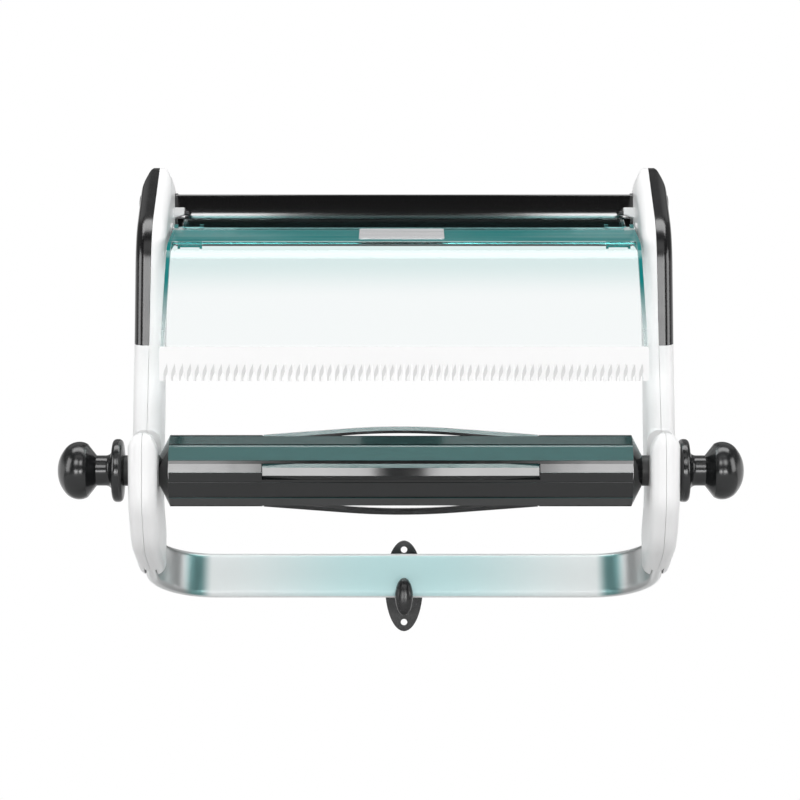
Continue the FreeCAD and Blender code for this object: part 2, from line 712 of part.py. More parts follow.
def arm_corners():
    """The arm's outline seen from the side, as (y, z, radius) corners."""
    axis_depth = size.spindle_depth
    axis_height = size.spindle_height
    mouth = prong_top
    prong_front = axis_depth + slot_half + size.prong_thickness
    heel_height = size.crossbar_bottom - size.arm_heel_drop
    return [
        (-size.arm_wall_gap, size.arm_crown_height, size.arm_wall_radius),
        (-size.arm_tip_depth, size.arm_tip_height, size.arm_tip_radius),
        (-size.shoulder_depth, size.shoulder_height, size.shoulder_radius),
        (-knee_depth, size.knee_height, size.knee_radius),
        (slot_half - axis_depth, mouth, size.mouth_radius),
        (-prong_front, mouth, size.prong_radius),
        (-axis_depth - size.breast_reach, axis_height - size.breast_drop, size.breast_radius),
        (-axis_depth - size.chin_reach, axis_height - size.chin_drop, size.chin_radius),
        (size.tail_back - axis_depth, axis_height - size.tail_drop, size.tail_radius),
        (size.heel_back - axis_depth, axis_height - size.heel_drop, size.heel_radius),
        (size.waist_back - axis_depth, axis_height - size.waist_drop, size.waist_radius),
        (size.root_back - axis_depth, axis_height + size.root_rise, size.root_radius),
        (-back_depth, size.back_height, size.back_radius),
        (-size.elbow_depth, size.elbow_height, size.elbow_radius),
        (-size.underarm_depth, heel_height, size.underarm_radius),
        (-size.arm_wall_gap, heel_height, size.arm_wall_radius),
    ]


lean_rise = size.arm_crown_height - size.spindle_height
arm_low = size.spindle_height - 2 * size.tail_drop
arm_high = size.arm_tip_height + size.tail_drop


def leaning_face(height):
    """How far out the arm's outer face lies at a height: it leans out above the spindle."""
    return outer_face + size.arm_lean * (height - size.spindle_height) / lean_rise


def edge_on_leaning_face(edge):
    """Tells the edges that lie wholly in the arm's outer face."""
    low = leaning_face(as_size(0)).value
    slope = leaning_face(as_size(1)).value - low
    points = edge.discretize(4)
    return all(abs(point.x - low - slope * point.z) < 1e-4 for point in points)


def lean_outer_face(body):
    """Cuts the outer half's face along its lean."""
    beyond = outer_face + 2 * size.arm_thickness
    region = new_sketch(body, f"{body.Label}_lean", "XZ_Plane")
    draw_run(
        region,
        [
            (leaning_face(arm_low), arm_low),
            (leaning_face(arm_high), arm_high),
            (beyond, arm_high),
            (beyond, arm_low),
        ],
    )
    pocket(body, region, 2 * size.spindle_depth)


def arch_top(body, name, side, top, half_width, drop, depth):
    """Cuts the top of an arm's half or prong to a quarter of an oval, seen from the front."""
    region = new_sketch(body, f"{body.Label}_{name}", "XZ_Plane", depth)
    edge = seam + side * half_width
    beyond = edge + side * size.arm_edge
    above = top + size.arm_edge
    draw_run(
        region,
        [
            (seam, top),
            (seam + side * half_width * OVAL_CORNER, top, half_width * OVAL_TOP),
            (edge, top - drop * (1 - OVAL_CORNER), drop * OVAL_SIDE),
            (edge, top - drop),
            (beyond, top - drop),
            (beyond, above),
            (seam, above),
        ],
    )
    pocket(body, region, size.spindle_depth)


def arm_half(label, inner):
    """One rounded half of the right arm, with its arched tops and its spindle slot."""
    body = new_body(label)
    start = inner_face if inner else seam + size.arm_seam / 2
    outline = new_sketch(body, f"{label}_outline", "YZ_Plane", start)
    draw_run(outline, arm_corners())
    half = size.arm_thickness / 2
    if inner:
        pad(body, outline, half - size.arm_seam / 2)
        round_edges(body, size.arm_edge, edge_in_plane("X", inner_face))
        crown = (-1, size.arm_tip_height, half, size.inner_crown_drop, 0)
        prong = (-1, prong_top, half, size.prong_inner_drop, size.spindle_depth)
    else:
        pad(body, outline, half + 2 * size.arm_lean)
        lean_outer_face(body)
        round_edges(body, size.arm_edge, edge_on_leaning_face)
        crown_half = leaning_face(size.arm_crown_height) - seam
        prong_half = leaning_face(prong_top) - seam
        crown = (1, size.arm_tip_height, crown_half, size.outer_crown_drop, 0)
        prong = (1, prong_top, prong_half, size.prong_outer_drop, size.spindle_depth)
    arch_top(body, "crown", *crown)
    arch_top(body, "prong", *prong)
    seat = new_sketch(body, f"{label}_seat", "YZ_Plane", inner_face)
    draw_circle(seat, -size.spindle_depth, size.spindle_height, slot_half)
    pocket(body, seat, size.arm_thickness + size.arm_lean)
    slot = new_sketch(body, f"{label}_slot", "YZ_Plane", inner_face)
    draw_rectangle(
        slot,
        -size.spindle_depth - slot_half,
        size.spindle_height,
        slot_half - size.spindle_depth,
        prong_top + size.prong_radius,
    )
    pocket(body, slot, size.arm_thickness + size.arm_lean)
    return body


def bar_frame_point(along, across):
    """Turns a place in the bar's own plane into (y, z): along its legs and across them."""
    y = -bar_depth - along * cosine(size.bar_tilt) + across * sine(size.bar_tilt)
    z = bar_height + along * sine(size.bar_tilt) + across * cosine(size.bar_tilt)
    return y, z


def cut_bar_channel(body):
    """Cuts the room for the bar's leg into one half of the arm."""
    channel = new_sketch(body, f"{body.Label}_channel", "YZ_Plane", seam)
    half_width = size.bar_width / 2 + size.seat_gap
    leg_end = size.bar_leg + size.seat_gap
    draw_run(
        channel,
        [
            bar_frame_point(size.bar_channel_start, -half_width),
            bar_frame_point(leg_end, -half_width),
            bar_frame_point(leg_end, half_width),
            bar_frame_point(size.bar_channel_start, half_width),
        ],
    )
    pocket(body, channel, size.bar_thickness + 2 * size.seat_gap, both_ways=True)


bar_screw_places = [
    bar_frame_point(size.bar_leg - size.bar_screw_inset, as_size(0)),
    bar_frame_point(size.bar_leg - size.bar_screw_inset - size.bar_screw_spacing, as_size(0)),
]
bar_screw_start = inner_face + size.bar_screw_sink


def cut_hole(body, name, y, z, radius, start, length):
    hole = new_sketch(body, f"{body.Label}_{name}", "YZ_Plane", start)
    draw_circle(hole, y, z, radius)
    pocket(body, hole, length)


def make_inner_shell():
    body = arm_half("right_arm_inner_shell", True)
    lug = new_sketch(body, "stop_lug", "XZ_Plane", size.stop_depth - size.lug_length / 2)
    lug_tip = inner_face - size.lug_reach
    draw_run(
        lug,
        [
            (inner_face + size.arm_edge, size.lug_height - size.lug_thickness),
            (inner_face + size.arm_edge, size.lug_height),
            (lug_tip, size.lug_height),
            (lug_tip, size.lug_height - size.lug_tip_thickness),
            (inner_face, size.lug_height - size.lug_thickness),
        ],
    )
    pad(body, lug, size.lug_length)
    boss = new_sketch(body, "hinge_boss", "YZ_Plane", inner_face - size.hinge_boss_reach)
    draw_circle(boss, -size.hinge_depth, size.hinge_height, size.hinge_boss_radius)
    pad(body, boss, size.hinge_boss_reach + size.arm_edge)
    cut_bar_channel(body)
    half = size.arm_thickness / 2
    for number, (depth, height) in enumerate(port_places):
        radius = size.port_screw_radius + size.seat_gap
        cut_hole(body, f"end_hole_{number}", -depth, height, radius, inner_face, half)
        radius = size.screw_head_radius + size.seat_gap
        recess = seam - size.screw_head_height - size.end_screw_sink
        cut_hole(body, f"end_recess_{number}", -depth, height, radius, recess, half)
    pin_hole = size.hinge_pin_radius + size.seat_gap
    boss_face = inner_face - size.hinge_boss_reach
    depth = size.pin_seat + size.hinge_boss_reach + size.seat_gap
    cut_hole(
        body, "hinge_hole", -size.hinge_depth, size.hinge_height, pin_hole, boss_face, depth
    )
    stop_hole = size.stop_radius + size.seat_gap
    depth = size.pin_seat + size.lug_reach + size.seat_gap
    cut_hole(body, "stop_hole", -size.stop_depth, size.stop_height, stop_hole, lug_tip, depth)
    for number, (y, z) in enumerate(bar_screw_places):
        radius = size.bar_screw_radius + size.seat_gap
        cut_hole(body, f"bar_hole_{number}", y, z, radius, bar_screw_start, half)
    hole = size.cap_screw_radius + size.seat_gap
    start = seam - size.cap_screw_bite - size.seat_gap
    cut_hole(body, "cap_hole", -size.cap_depth, size.cap_height, hole, start, half)
    keep_pair(body)


def trim_line(body, name, side):
    """A region above (side 1) or below (side -1) the slanted end of the dark trim."""
    region = new_sketch(body, name, "YZ_Plane", inner_face)
    start = size.trim_height - side * size.seat_gap / 2
    slope = tangent(size.trim_slope)
    reach = size.arm_tip_height + size.tail_drop
    near = start - reach * slope
    far = start + knee_depth * slope
    front = -knee_depth - reach
    draw_run(
        region,
        [(front, near), (0, far), (0, far + side * reach), (front, near + side * reach)],
    )
    pocket(body, region, size.arm_thickness + size.arm_lean)


def make_outer_shell():
    body = arm_half("right_arm_outer_shell", False)
    trim_line(body, "shell_top_cut", 1)
    cut_bar_channel(body)
    for number, (y, z) in enumerate(bar_screw_places):
        radius = size.bar_screw_radius + size.seat_gap
        depth = size.bar_screw_bite + size.seat_gap
        cut_hole(body, f"bar_hole_{number}", y, z, radius, seam, depth)
    keep_pair(body)


def make_trim():
    body = arm_half("right_arm_trim", False)
    trim_line(body, "trim_bottom_cut", -1)
    hole = size.cap_screw_radius + size.seat_gap
    cut_hole(
        body, "cap_hole", -size.cap_depth, size.cap_height, hole, seam, size.arm_thickness
    )
    hole = size.cap_radius / 2
    cut_hole(
        body,
        "cap_recess",
        -size.cap_depth,
        size.cap_height,
        hole,
        outer_face - size.screw_head_height - size.seat_gap,
        size.arm_thickness,
    )
    seat = size.cap_radius + size.seat_gap
    start = outer_face - size.seat_gap
    cut_hole(
        body, "cap_seat", -size.cap_depth, size.cap_height, seat, start, size.arm_thickness
    )
    for number, (depth, height) in enumerate(port_places):
        radius = size.screw_head_radius + size.seat_gap
        cut_hole(body, f"end_recess_{number}", -depth, height, radius, seam, size.screw_head_height)
    keep_pair(body)


def make_cap():
    """The round cap over the arm's upper screw."""
    body = new_body("right_arm_cap")
    disc = new_sketch(body, "cap_disc", "YZ_Plane", outer_face)
    draw_circle(disc, -size.cap_depth, size.cap_height, size.cap_radius)
    pad(body, disc, size.cap_rise)
    cap_face = outer_face + size.cap_rise
    dress_edges(body, "Chamfer", size.cap_bevel, edge_in_plane("X", cap_face))
    keep_pair(body)


def make_arm_screws():
    """The screws that close each arm and those that hold the bar's legs."""
    cap_screw = headed_screw(
        "right_cap_screw",
        size.cap_screw_radius,
        size.arm_thickness / 2 - size.screw_head_height + size.cap_screw_bite,
        outer_face - size.screw_head_height,
        -size.cap_depth,
        size.cap_height,
        "-X",
    )
    end_screws = []
    for number, (depth, height) in enumerate(port_places):
        length = (
            size.arm_thickness / 2
            - size.screw_head_height
            + size.end_plate_thickness
            + size.port_screw_depth
            - size.end_screw_sink
        )
        screw = headed_screw(
            f"right_end_screw_{number}",
            size.port_screw_radius,
            length,
            seam - size.screw_head_height - size.end_screw_sink,
            -depth,
            height,
            "-X",
        )
        end_screws.append(screw)
    bar_screws = []
    for number, (y, z) in enumerate(bar_screw_places):
        length = seam + size.bar_screw_bite - bar_screw_start
        screw = cylinder(
            f"right_bar_screw_{number}", size.bar_screw_radius, length, bar_screw_start, y, z, "+X"
        )
        bar_screws.append(screw)
    keep_pair(joined("right_arm_screws", "Part::Compound", [cap_screw] + end_screws))
    keep_pair(joined("right_bar_screws", "Part::Compound", bar_screws))


def make_pins():
    """The stop pin and the hinge pin of the right arm."""
    stop_tip = inner_face - size.lug_reach - size.stop_reach
    body = new_body("right_stop_pin")
    rod = new_sketch(body, "stop_rod", "YZ_Plane", stop_tip)
    draw_circle(rod, -size.stop_depth, size.stop_height, size.stop_radius)
    pad(body, rod, size.stop_reach + size.lug_reach + size.pin_seat)
    dress_edges(body, "Chamfer", size.stop_bevel, edge_in_plane("X", stop_tip))
    keep_pair(body)
    body = new_body("right_hinge_pin")
    start = cover_half - size.ear_spacing - size.ear_width
    rod = new_sketch(body, "hinge_rod", "YZ_Plane", start)
    draw_circle(rod, -size.hinge_depth, size.hinge_height, size.hinge_pin_radius)
    pad(body, rod, inner_face + size.pin_seat - start)
    keep_pair(body)


# Bent bar, swept as a flat bar with round edges around the U


def make_bar():
    body = new_body("u_bar")
    path = new_sketch(body, "bar_path", "XY_Plane")
    draw_run(
        path,
        [
            (-seam, -size.bar_leg),
            (-seam, 0, size.bar_bend),
            (seam, 0, size.bar_bend),
            (seam, -size.bar_leg),
        ],
        closed=False,
    )
    section = new_sketch(body, "bar_section", "XZ_Plane", size.bar_leg)
    left = -seam - bar_edge_radius
    right = bar_edge_radius - seam
    radius = bar_edge_radius
    edge = bar_edge_offset
    line_a = Part.LineSegment(vector2(left, edge), vector2(left, -edge))
    line_b = Part.LineSegment(vector2(right, -edge), vector2(right, edge))
    low = Part.Circle(vector2(-seam, -edge), FreeCAD.Vector(0, 0, 1), radius.value)
    high = Part.Circle(vector2(-seam, edge), FreeCAD.Vector(0, 0, 1), radius.value)
    section.addGeometry(line_a, False)
    section.addGeometry(Part.ArcOfCircle(low, math.pi, 2 * math.pi), False)
    section.addGeometry(line_b, False)
    section.addGeometry(Part.ArcOfCircle(high, 0, math.pi), False)
    for first in range(4):
        second = (first + 1) % 4
        section.addConstraint(Sketcher.Constraint("Tangent", first, 2, second, 1))
    fix_point(section, 1, 3, -seam, -edge)
    fix(section, "DistanceY", -1, 1, 3, 3, edge)
    fix(section, "Radius", 1, radius)
    section.addConstraint(Sketcher.Constraint("Vertical", 0))
    pipe = body.newObject("PartDesign::AdditivePipe", "bar_sweep")
    pipe.Profile = section
    pipe.Spine = path
    doc.recompute()
    for number, along in enumerate((0, size.bar_screw_spacing)):
        hole = new_sketch(body, f"bar_holes_{number}", "YZ_Plane")
        y = size.bar_screw_inset - size.bar_leg + along
        draw_circle(hole, y, 0, size.bar_screw_radius + size.seat_gap)
        pocket(body, hole, 2 * outer_face, both_ways=True)
    body.Placement.Rotation = FreeCAD.Rotation(FreeCAD.Vector(1, 0, 0), -size.bar_tilt.value)
    bind(body, "Placement.Rotation.Angle", size.bar_tilt)
    body.Placement.Rotation.Axis = FreeCAD.Vector(-1, 0, 0)
    place(body, 0, -bar_depth, bar_height)
    keep(body)


def vector2(x, y):
    return FreeCAD.Vector(as_size(x).value, as_size(y).value, 0)


# Wall hook: an oval plate, a tapered post under the bar and an oval head in front of it


def make_wall_hook():
    plate = oval("hook_plate", size.hook_plate_height, size.hook_plate_width)
    plate_solid = oval_solid(plate, size.hook_plate_thickness)
    head = oval("hook_head", size.head_height, size.head_width)
    head_solid = oval_solid(head, size.head_thickness)
    head_back = bar_front + size.face_gap
    place(head_solid, 0, -head_back, bar_underside + size.head_rise)
    rounded = doc.addObject("Part::Fillet", "hook_head_dome")
    rounded.Base = head_solid
    body = new_body("hook_post")
    side = new_sketch(body, "post_side", "YZ_Plane")
    top = bar_underside - size.seat_gap
    draw_run(
        side,
        [
            (-size.hook_plate_thickness / 2, top),
            (-size.hook_plate_thickness / 2, top - size.post_root),
            (-head_back - size.post_sink, top - size.post_height),
            (-head_back - size.post_sink, top),
        ],
    )
    pad(body, side, size.post_width, both_ways=True)
    doc.recompute()
    front = -head_back.value - size.head_thickness.value
    rim = [
        (number, size.head_dome.value, size.head_dome.value)
        for number, edge in enumerate(head_solid.Shape.Edges, start=1)
        if abs(edge.BoundBox.YMin - front) < 1e-3 and abs(edge.BoundBox.YMax - front) < 1e-3
    ]
    rounded.Edges = rim
    blank = joined("hook_blank", "Part::MultiFuse", [plate_solid, body, rounded])
    drills = []
    for side_name, sign in (("upper", 1), ("lower", -1)):
        height = sign * size.hook_hole_spacing / 2
        length = size.hook_plate_thickness + 2 * size.cut_reach
        name = f"hook_drill_{side_name}"
        drill = cylinder(name, size.hook_hole_radius, length, 0, size.cut_reach, height, "-Y")
        drills.append(drill)
    holes = joined("hook_drills", "Part::Compound", drills)
    keep(joined("wall_hook", "Part::Cut", (blank, holes)))


def oval(name, height, width):
    curve = doc.addObject("Part::Ellipse", f"{name}_curve")
    bind(curve, "MajorRadius", height / 2)
    bind(curve, "MinorRadius", width / 2)
    # the long axis is turned upright and the curve faces the front
    upright = FreeCAD.Rotation(FreeCAD.Vector(1, 0, 0), 90)
    turned = FreeCAD.Rotation(FreeCAD.Vector(0, 0, 1), 90)
    curve.Placement = FreeCAD.Placement(FreeCAD.Vector(), upright.multiply(turned))
    return curve


def oval_solid(curve, thickness):
    solid = doc.addObject("Part::Extrusion", curve.Name.replace("_curve", "_solid"))
    solid.Base = curve
    solid.DirMode = "Custom"
    solid.Dir = FreeCAD.Vector(0, -1, 0)
    solid.Solid = True
    bind(solid, "LengthFwd", thickness)
    return solid


# Cover: a bent sheet with side rims, swept from its front lip up to its rear edge


def cover_path_corners():
    """Middle line of the cover's sheet seen from the side."""
    depth = size.hinge_depth
    height = size.hinge_height
    rear_y = -depth - size.cover_rear_reach
    rear_z = height - size.cover_rear_drop
    return [
        (-depth - size.cover_lip_reach, height - size.cover_lip_bottom),
        (-depth - size.cover_lip_reach, height - size.cover_lip_top, size.cover_lip_radius),
        (
            -depth - size.cover_bend_reach,
            height - size.cover_bend_drop,
            size.cover_bend_radius,
        ),
        (rear_y, rear_z),
    ]


def ear_places():
    outer = cover_half - size.ear_width
    return [outer, outer - size.ear_spacing]


def make_cover():
    body = new_body("cover")
    corners = cover_path_corners()
    path = new_sketch(body, "cover_path", "YZ_Plane")
    draw_run(path, corners, closed=False)
    section = new_sketch(body, "cover_section", "XY_Plane", corners[0][1])
    front = corners[0][0] - size.cover_thickness / 2
    sheet_back = corners[0][0] + size.cover_thickness / 2
    rim_back = front + size.cover_rim
    inside = cover_half - size.cover_rim_width
    draw_run(
        section,
        [
            (-cover_half, front),
            (cover_half, front),
            (cover_half, rim_back),
            (inside, rim_back),
            (inside, sheet_back),
            (-inside, sheet_back),
            (-inside, rim_back),
            (-cover_half, rim_back),
        ],
    )
    pipe = body.newObject("PartDesign::AdditivePipe", "cover_sweep")
    pipe.Profile = section
    pipe.Spine = path
    rear_y, rear_z = corners[-1]
    rear_lip = new_sketch(body, "rear_lip", "YZ_Plane")
    draw_rectangle(
        rear_lip,
        rear_y - size.cover_thickness,
        rear_z - size.cover_thickness / 2,
        rear_y,
        size.hinge_height + size.rear_lip_rise,
    )
    pad(body, rear_lip, 2 * (cover_half - size.rear_lip_inset), both_ways=True)
    under = size.hinge_height - size.ear_rib
    slope = (corners[-1][1] - corners[-2][1]) / (corners[-1][0] - corners[-2][0])
    foot_y = -size.hinge_depth - size.ear_foot
    foot_z = rear_z + slope * (foot_y - rear_y)
    eye_y = -size.hinge_depth
    for side in (-1, 1):
        for number, place_x in enumerate(ear_places()):
            start = place_x if side > 0 else -place_x - size.ear_width
            name = f"{number}_{'right' if side > 0 else 'left'}"
            web = new_sketch(body, f"ear_web_{name}", "YZ_Plane", start)
            draw_run(
                web,
                [
                    (eye_y, size.hinge_height + size.ear_radius),
                    (rear_y - size.cover_thickness, rear_z + size.cover_thickness / 4),
                    (foot_y, foot_z),
                    (foot_y, foot_z - size.ear_rib / 2, size.ear_corner),
                    (eye_y - size.ear_radius, under, size.ear_corner),
                    (eye_y, size.hinge_height - size.ear_radius),
                ],
            )
            pad(body, web, size.ear_width)
            eye = new_sketch(body, f"ear_eye_{name}", "YZ_Plane", start)
            draw_circle(eye, eye_y, size.hinge_height, size.ear_radius)
            pad(body, eye, size.ear_width)
    tail_start = inner_face - size.lug_reach - size.stop_reach
    tail_tip_y = -size.stop_depth
    tail_top = size.stop_height - size.stop_radius - size.face_gap
    for side in (-1, 1):
        start = tail_start if side > 0 else -tail_start - size.tail_width
        tail = new_sketch(body, f"stop_tail_{side + 2}", "YZ_Plane", start)
        draw_run(
            tail,
            [
                (tail_tip_y + size.stop_radius, tail_top - size.tail_thickness),
                (tail_tip_y + size.stop_radius, tail_top),
                (tail_tip_y - size.stop_radius, tail_top),
                (eye_y, size.hinge_height + size.ear_radius),
                (rear_y - size.cover_thickness, rear_z + size.cover_thickness / 4),
                (rear_y - size.cover_thickness, rear_z - size.cover_thickness),
                (eye_y, size.hinge_height - size.ear_radius),
            ],
        )
        pad(body, tail, size.tail_width)
    bore = new_sketch(body, "hinge_bore", "YZ_Plane")
    draw_circle(bore, eye_y, size.hinge_height, size.hinge_pin_radius + size.running_gap)
    pocket(body, bore, 2 * (cover_half + size.cut_reach), both_ways=True)
    studs = new_sketch(body, "stud_holes", "XZ_Plane", size.hinge_depth + size.cover_lip_reach)
    for x in stud_places():
        draw_circle(studs, x, stud_height, size.stud_radius + size.seat_gap)
    pocket(body, studs, 2 * size.cover_thickness, both_ways=True)
    keep(body)


def stud_places():
    return [size.stud_spacing * step for step in (-1.5, -0.5, 0.5, 1.5)]


blade_top = size.hinge_height - size.cover_lip_top + size.blade_rise
stud_height = blade_top - size.stud_drop
cover_front = size.hinge_depth + size.cover_lip_reach + size.cover_thickness / 2


def make_blade():
    """A moulded blade: a plain band over long teeth, which are cut as one row of gaps."""
    body = new_body("tear_blade")
    blank = new_sketch(body, "blade_blank", "XZ_Plane", cover_front)
    half = cover_half + size.blade_overhang
    bottom = blade_top - size.blade_height
    draw_run(
        blank,
        [
            (-half, bottom, size.blade_corner),
            (half, bottom, size.blade_corner),
            (half, blade_top, size.blade_corner),
            (-half, blade_top, size.blade_corner),
        ],
    )
    pad(body, blank, size.blade_thickness)
    gap = new_sketch(body, "blade_gap", "XZ_Plane", cover_front)
    gap_left = size.blade_end - half
    gap_right = gap_left + size.tooth_gap
    gap_top = blade_top - size.blade_band
    draw_run(
        gap,
        [
            (gap_left, bottom - size.cut_reach),
            (gap_right, bottom - size.cut_reach),
            ((gap_left + gap_right) / 2, gap_top),
        ],
    )
    first = pocket(body, gap, size.blade_thickness)
    row = 2 * (half - size.blade_end) - size.tooth_gap
    pattern = body.newObject("PartDesign::LinearPattern", "blade_teeth")
    pattern.Originals = [first]
    pattern.Direction = (gap, ["H_Axis"])
    pattern.Occurrences = int(row.value // size.tooth_pitch.value) + 1
    bind(pattern, "Length", row)
    body.Tip = pattern
    for number, x in enumerate(stud_places()):
        hole = new_sketch(body, f"blade_stud_hole_{number}", "XZ_Plane", cover_front)
        draw_circle(hole, x, stud_height, size.stud_radius + size.seat_gap)
        pocket(body, hole, size.blade_thickness / 2)
    keep(body)
    studs = []
    for number, x in enumerate(stud_places()):
        length = size.cover_thickness + size.blade_thickness / 2 + size.stud_sink
        y = -cover_front - size.blade_thickness / 2 + size.seat_gap
        shank = cylinder(f"blade_stud_{number}", size.stud_radius, length, x, y, stud_height, "+Y")
        head = cylinder(
            f"blade_stud_head_{number}",
            size.stud_radius * 2,
            size.stud_head_height,
            x,
            size.cover_thickness - cover_front,
            stud_height,
            "+Y",
        )
        studs.append(joined(f"blade_rivet_{number}", "Part::MultiFuse", [shank, head]))
    keep(joined("blade_rivets", "Part::Compound", studs))


def make_plate():
    """The bare plate on the cover's top panel, lying on the sheet."""
    body = new_body("cover_plate")
    rear_y, rear_z = cover_path_corners()[-1]
    bend_y, bend_z, _ = cover_path_corners()[-2]
    fall = arc_tangent((rear_z - bend_z) / (rear_y - bend_y))
    blank = new_sketch(body, "plate_blank", "XY_Plane", size.cover_thickness / 2)
    half = size.plate_width / 2
    start = -size.cover_thickness - size.plate_inset
    draw_run(
        blank,
        [
            (-half, start, size.plate_corner),
            (-half, start - size.plate_length, size.plate_corner),
            (half, start - size.plate_length, size.plate_corner),
            (half, start, size.plate_corner),
        ],
    )
    pad(body, blank, size.plate_thickness)
    body.Placement.Rotation = FreeCAD.Rotation(FreeCAD.Vector(1, 0, 0), fall.value)
    bind(body, "Placement.Rotation.Angle", fall)
    place(body, -size.plate_shift, rear_y, rear_z)
    keep(body)


# Spindle: a grooved two-part body on a steel tube, with bushes and knobs at the ends


FACETS = 12
leaf_slot_floor = size.leaf_end - size.leaf_thickness - size.leaf_travel - size.face_gap


def place_on_axis(thing, quarter=0):
    """Puts a spindle piece on its axis, turned about it by quarters of a turn."""
    thing.Placement.Rotation = FreeCAD.Rotation(FreeCAD.Vector(1, 0, 0), 90 * quarter)
    place(thing, -size.spindle_shift, -size.spindle_depth, size.spindle_height)


def repeat_around(body, feature, axis, count):
    """Repeats a feature evenly around the spindle's axis."""
    pattern = body.newObject("PartDesign::PolarPattern", f"{feature.Name}_pattern")
    pattern.Originals = [feature]
    pattern.Axis = (axis, ["N_Axis"])
    pattern.Angle = 360
    pattern.Occurrences = count
    body.Tip = pattern


def make_core():
    """The spindle's body in one piece, before it is split into its two halves."""
    core = new_body("spindle_core")
    section = new_sketch(core, "core_section", "YZ_Plane")
    facet_angle = 360 / FACETS
    corners = []
    for step in range(FACETS):
        angle = as_size(facet_angle * (step + 0.5))
        corners.append((size.core_radius * cosine(angle), size.core_radius * sine(angle)))
    draw_run(section, corners)
    pad(core, section, 2 * core_end, both_ways=True)
    groove = new_sketch(core, "core_groove", "YZ_Plane")
    turn = as_size(facet_angle / 2)
    side = size.groove_width / 2
    low = size.core_radius - size.groove_depth
    high = size.core_radius + size.groove_depth
    outline = []
    for out, across in ((low, -side), (high, -side), (high, side), (low, side)):
        y = out * cosine(turn) - across * sine(turn)
        z = out * sine(turn) + across * cosine(turn)
        outline.append((y, z))
    draw_run(groove, outline)
    first = pocket(core, groove, 2 * core_end, both_ways=True)
    repeat_around(core, first, section, FACETS)
    slot = new_sketch(core, "leaf_slot", "XZ_Plane", leaf_slot_floor)
    reach = size.leaf_half_length + size.leaf_end_gap
    side = size.leaf_width / 2 + size.face_gap
    draw_rectangle(slot, -reach, -side, reach, side)
    first = pocket(core, slot, size.core_radius)
    repeat_around(core, first, section, 4)
    taper = new_sketch(core, "core_taper_corner", "XY_Plane")
    for step in (1, -1):
        end = step * core_end
        beyond = step * (core_end + size.cut_reach)
        rim = size.core_radius + size.groove_depth
        start = (step * (core_end - size.core_taper), rim)
        draw_run(
            taper,
            [(beyond, size.core_nose_radius), (end, size.core_nose_radius), start, (beyond, rim)],
        )
    doc.recompute()
    before = core.Shape.Volume
    cut = core.newObject("PartDesign::Groove", "core_tapers")
    cut.Profile = taper
    cut.ReferenceAxis = (taper, ["H_Axis"])
    cut.Angle = 360
    doc.recompute()
    if core.Shape.Volume > before - LEAST_CUT:
        raise RuntimeError("the spindle's ends aren't tapered")
    bore = new_sketch(core, "core_bore", "YZ_Plane")
    draw_circle(bore, 0, 0, size.tube_radius + size.running_gap)
    pocket(core, bore, 2 * core_end, both_ways=True)
    holes = new_sketch(core, "core_screw_holes", "XY_Plane", -size.core_radius)
    heads = new_sketch(core, "core_screw_recesses", "XY_Plane", -size.core_radius)
    for x, y in shell_screw_places():
        draw_circle(holes, x, y, size.shell_screw_radius + size.seat_gap)
        draw_circle(heads, x, y, size.shell_screw_head + size.seat_gap)
    pocket(core, holes, size.core_radius + size.shell_screw_rise + size.seat_gap)
    pocket(core, heads, size.core_radius - size.shell_screw_drop)
    place_on_axis(core)
    return core


def shell_screw_places():
    """Places of the four screws behind the axis, from the spindle's middle."""
    near = size.leaf_half_length + size.shell_screw_clear
    places = []
    for side in (-1, 1):
        for reach in (near, near + size.shell_screw_pitch):
            places.append((side * reach, size.shell_screw_offset))
    return places


def make_spindle_shells():
    """Splits the body along the height of its axis into two moulded halves."""
    core = make_core()
    for label, kind in (("spindle_shell_upper", "Part::Common"), ("spindle_shell_lower", "Part::Cut")):
        block = doc.addObject("Part::Box", f"{label}_block")
        bind(block, "Length", 2 * (core_end + size.cut_reach))
        bind(block, "Width", 4 * size.core_radius)
        bind(block, "Height", 2 * size.core_radius)
        x = -size.spindle_shift - core_end - size.cut_reach
        place(block, x, -size.spindle_depth - 2 * size.core_radius, size.spindle_height)
        keep(joined(label, kind, (core, block)))


def make_shell_screws():
    screws = []
    for number, (x, y) in enumerate(shell_screw_places()):
        x = x - size.spindle_shift
        y = y - size.spindle_depth
        head_z = size.spindle_height - size.shell_screw_drop
        length = size.shell_screw_drop + size.shell_screw_rise
        name = f"shell_screw_{number}"
        shank = cylinder(f"{name}_shank", size.shell_screw_radius, length, x, y, head_z, "+Z")
        height = size.shell_screw_radius
        head = cylinder(f"{name}_head", size.shell_screw_head, height, x, y, head_z - height, "+Z")
        screws.append(joined(name, "Part::MultiFuse", [shank, head]))
    keep(joined("spindle_screws", "Part::Compound", screws))


def make_tube():
    body = new_body("spindle_tube")
    ring = new_sketch(body, "tube_ring", "YZ_Plane")
    draw_circle(ring, 0, 0, size.tube_radius)
    draw_circle(ring, 0, 0, size.tube_radius - size.tube_wall)
    pad(body, ring, 2 * (flange_face + size.tube_seat), both_ways=True)
    place_on_axis(body)
    keep(body)


def make_bushes():
    """The plain rings that sit in the arms' slots and let the spindle turn."""
    body = new_body("right_bush")
    ring = new_sketch(body, "bush_ring", "YZ_Plane", core_end + size.face_gap)
    draw_circle(ring, 0, 0, size.bush_radius)
    draw_circle(ring, 0, 0, size.tube_radius + size.running_gap)
    pad(body, ring, flange_face - core_end - 2 * size.face_gap)
    place_on_axis(body)
    keep_pair(body, -size.spindle_shift)


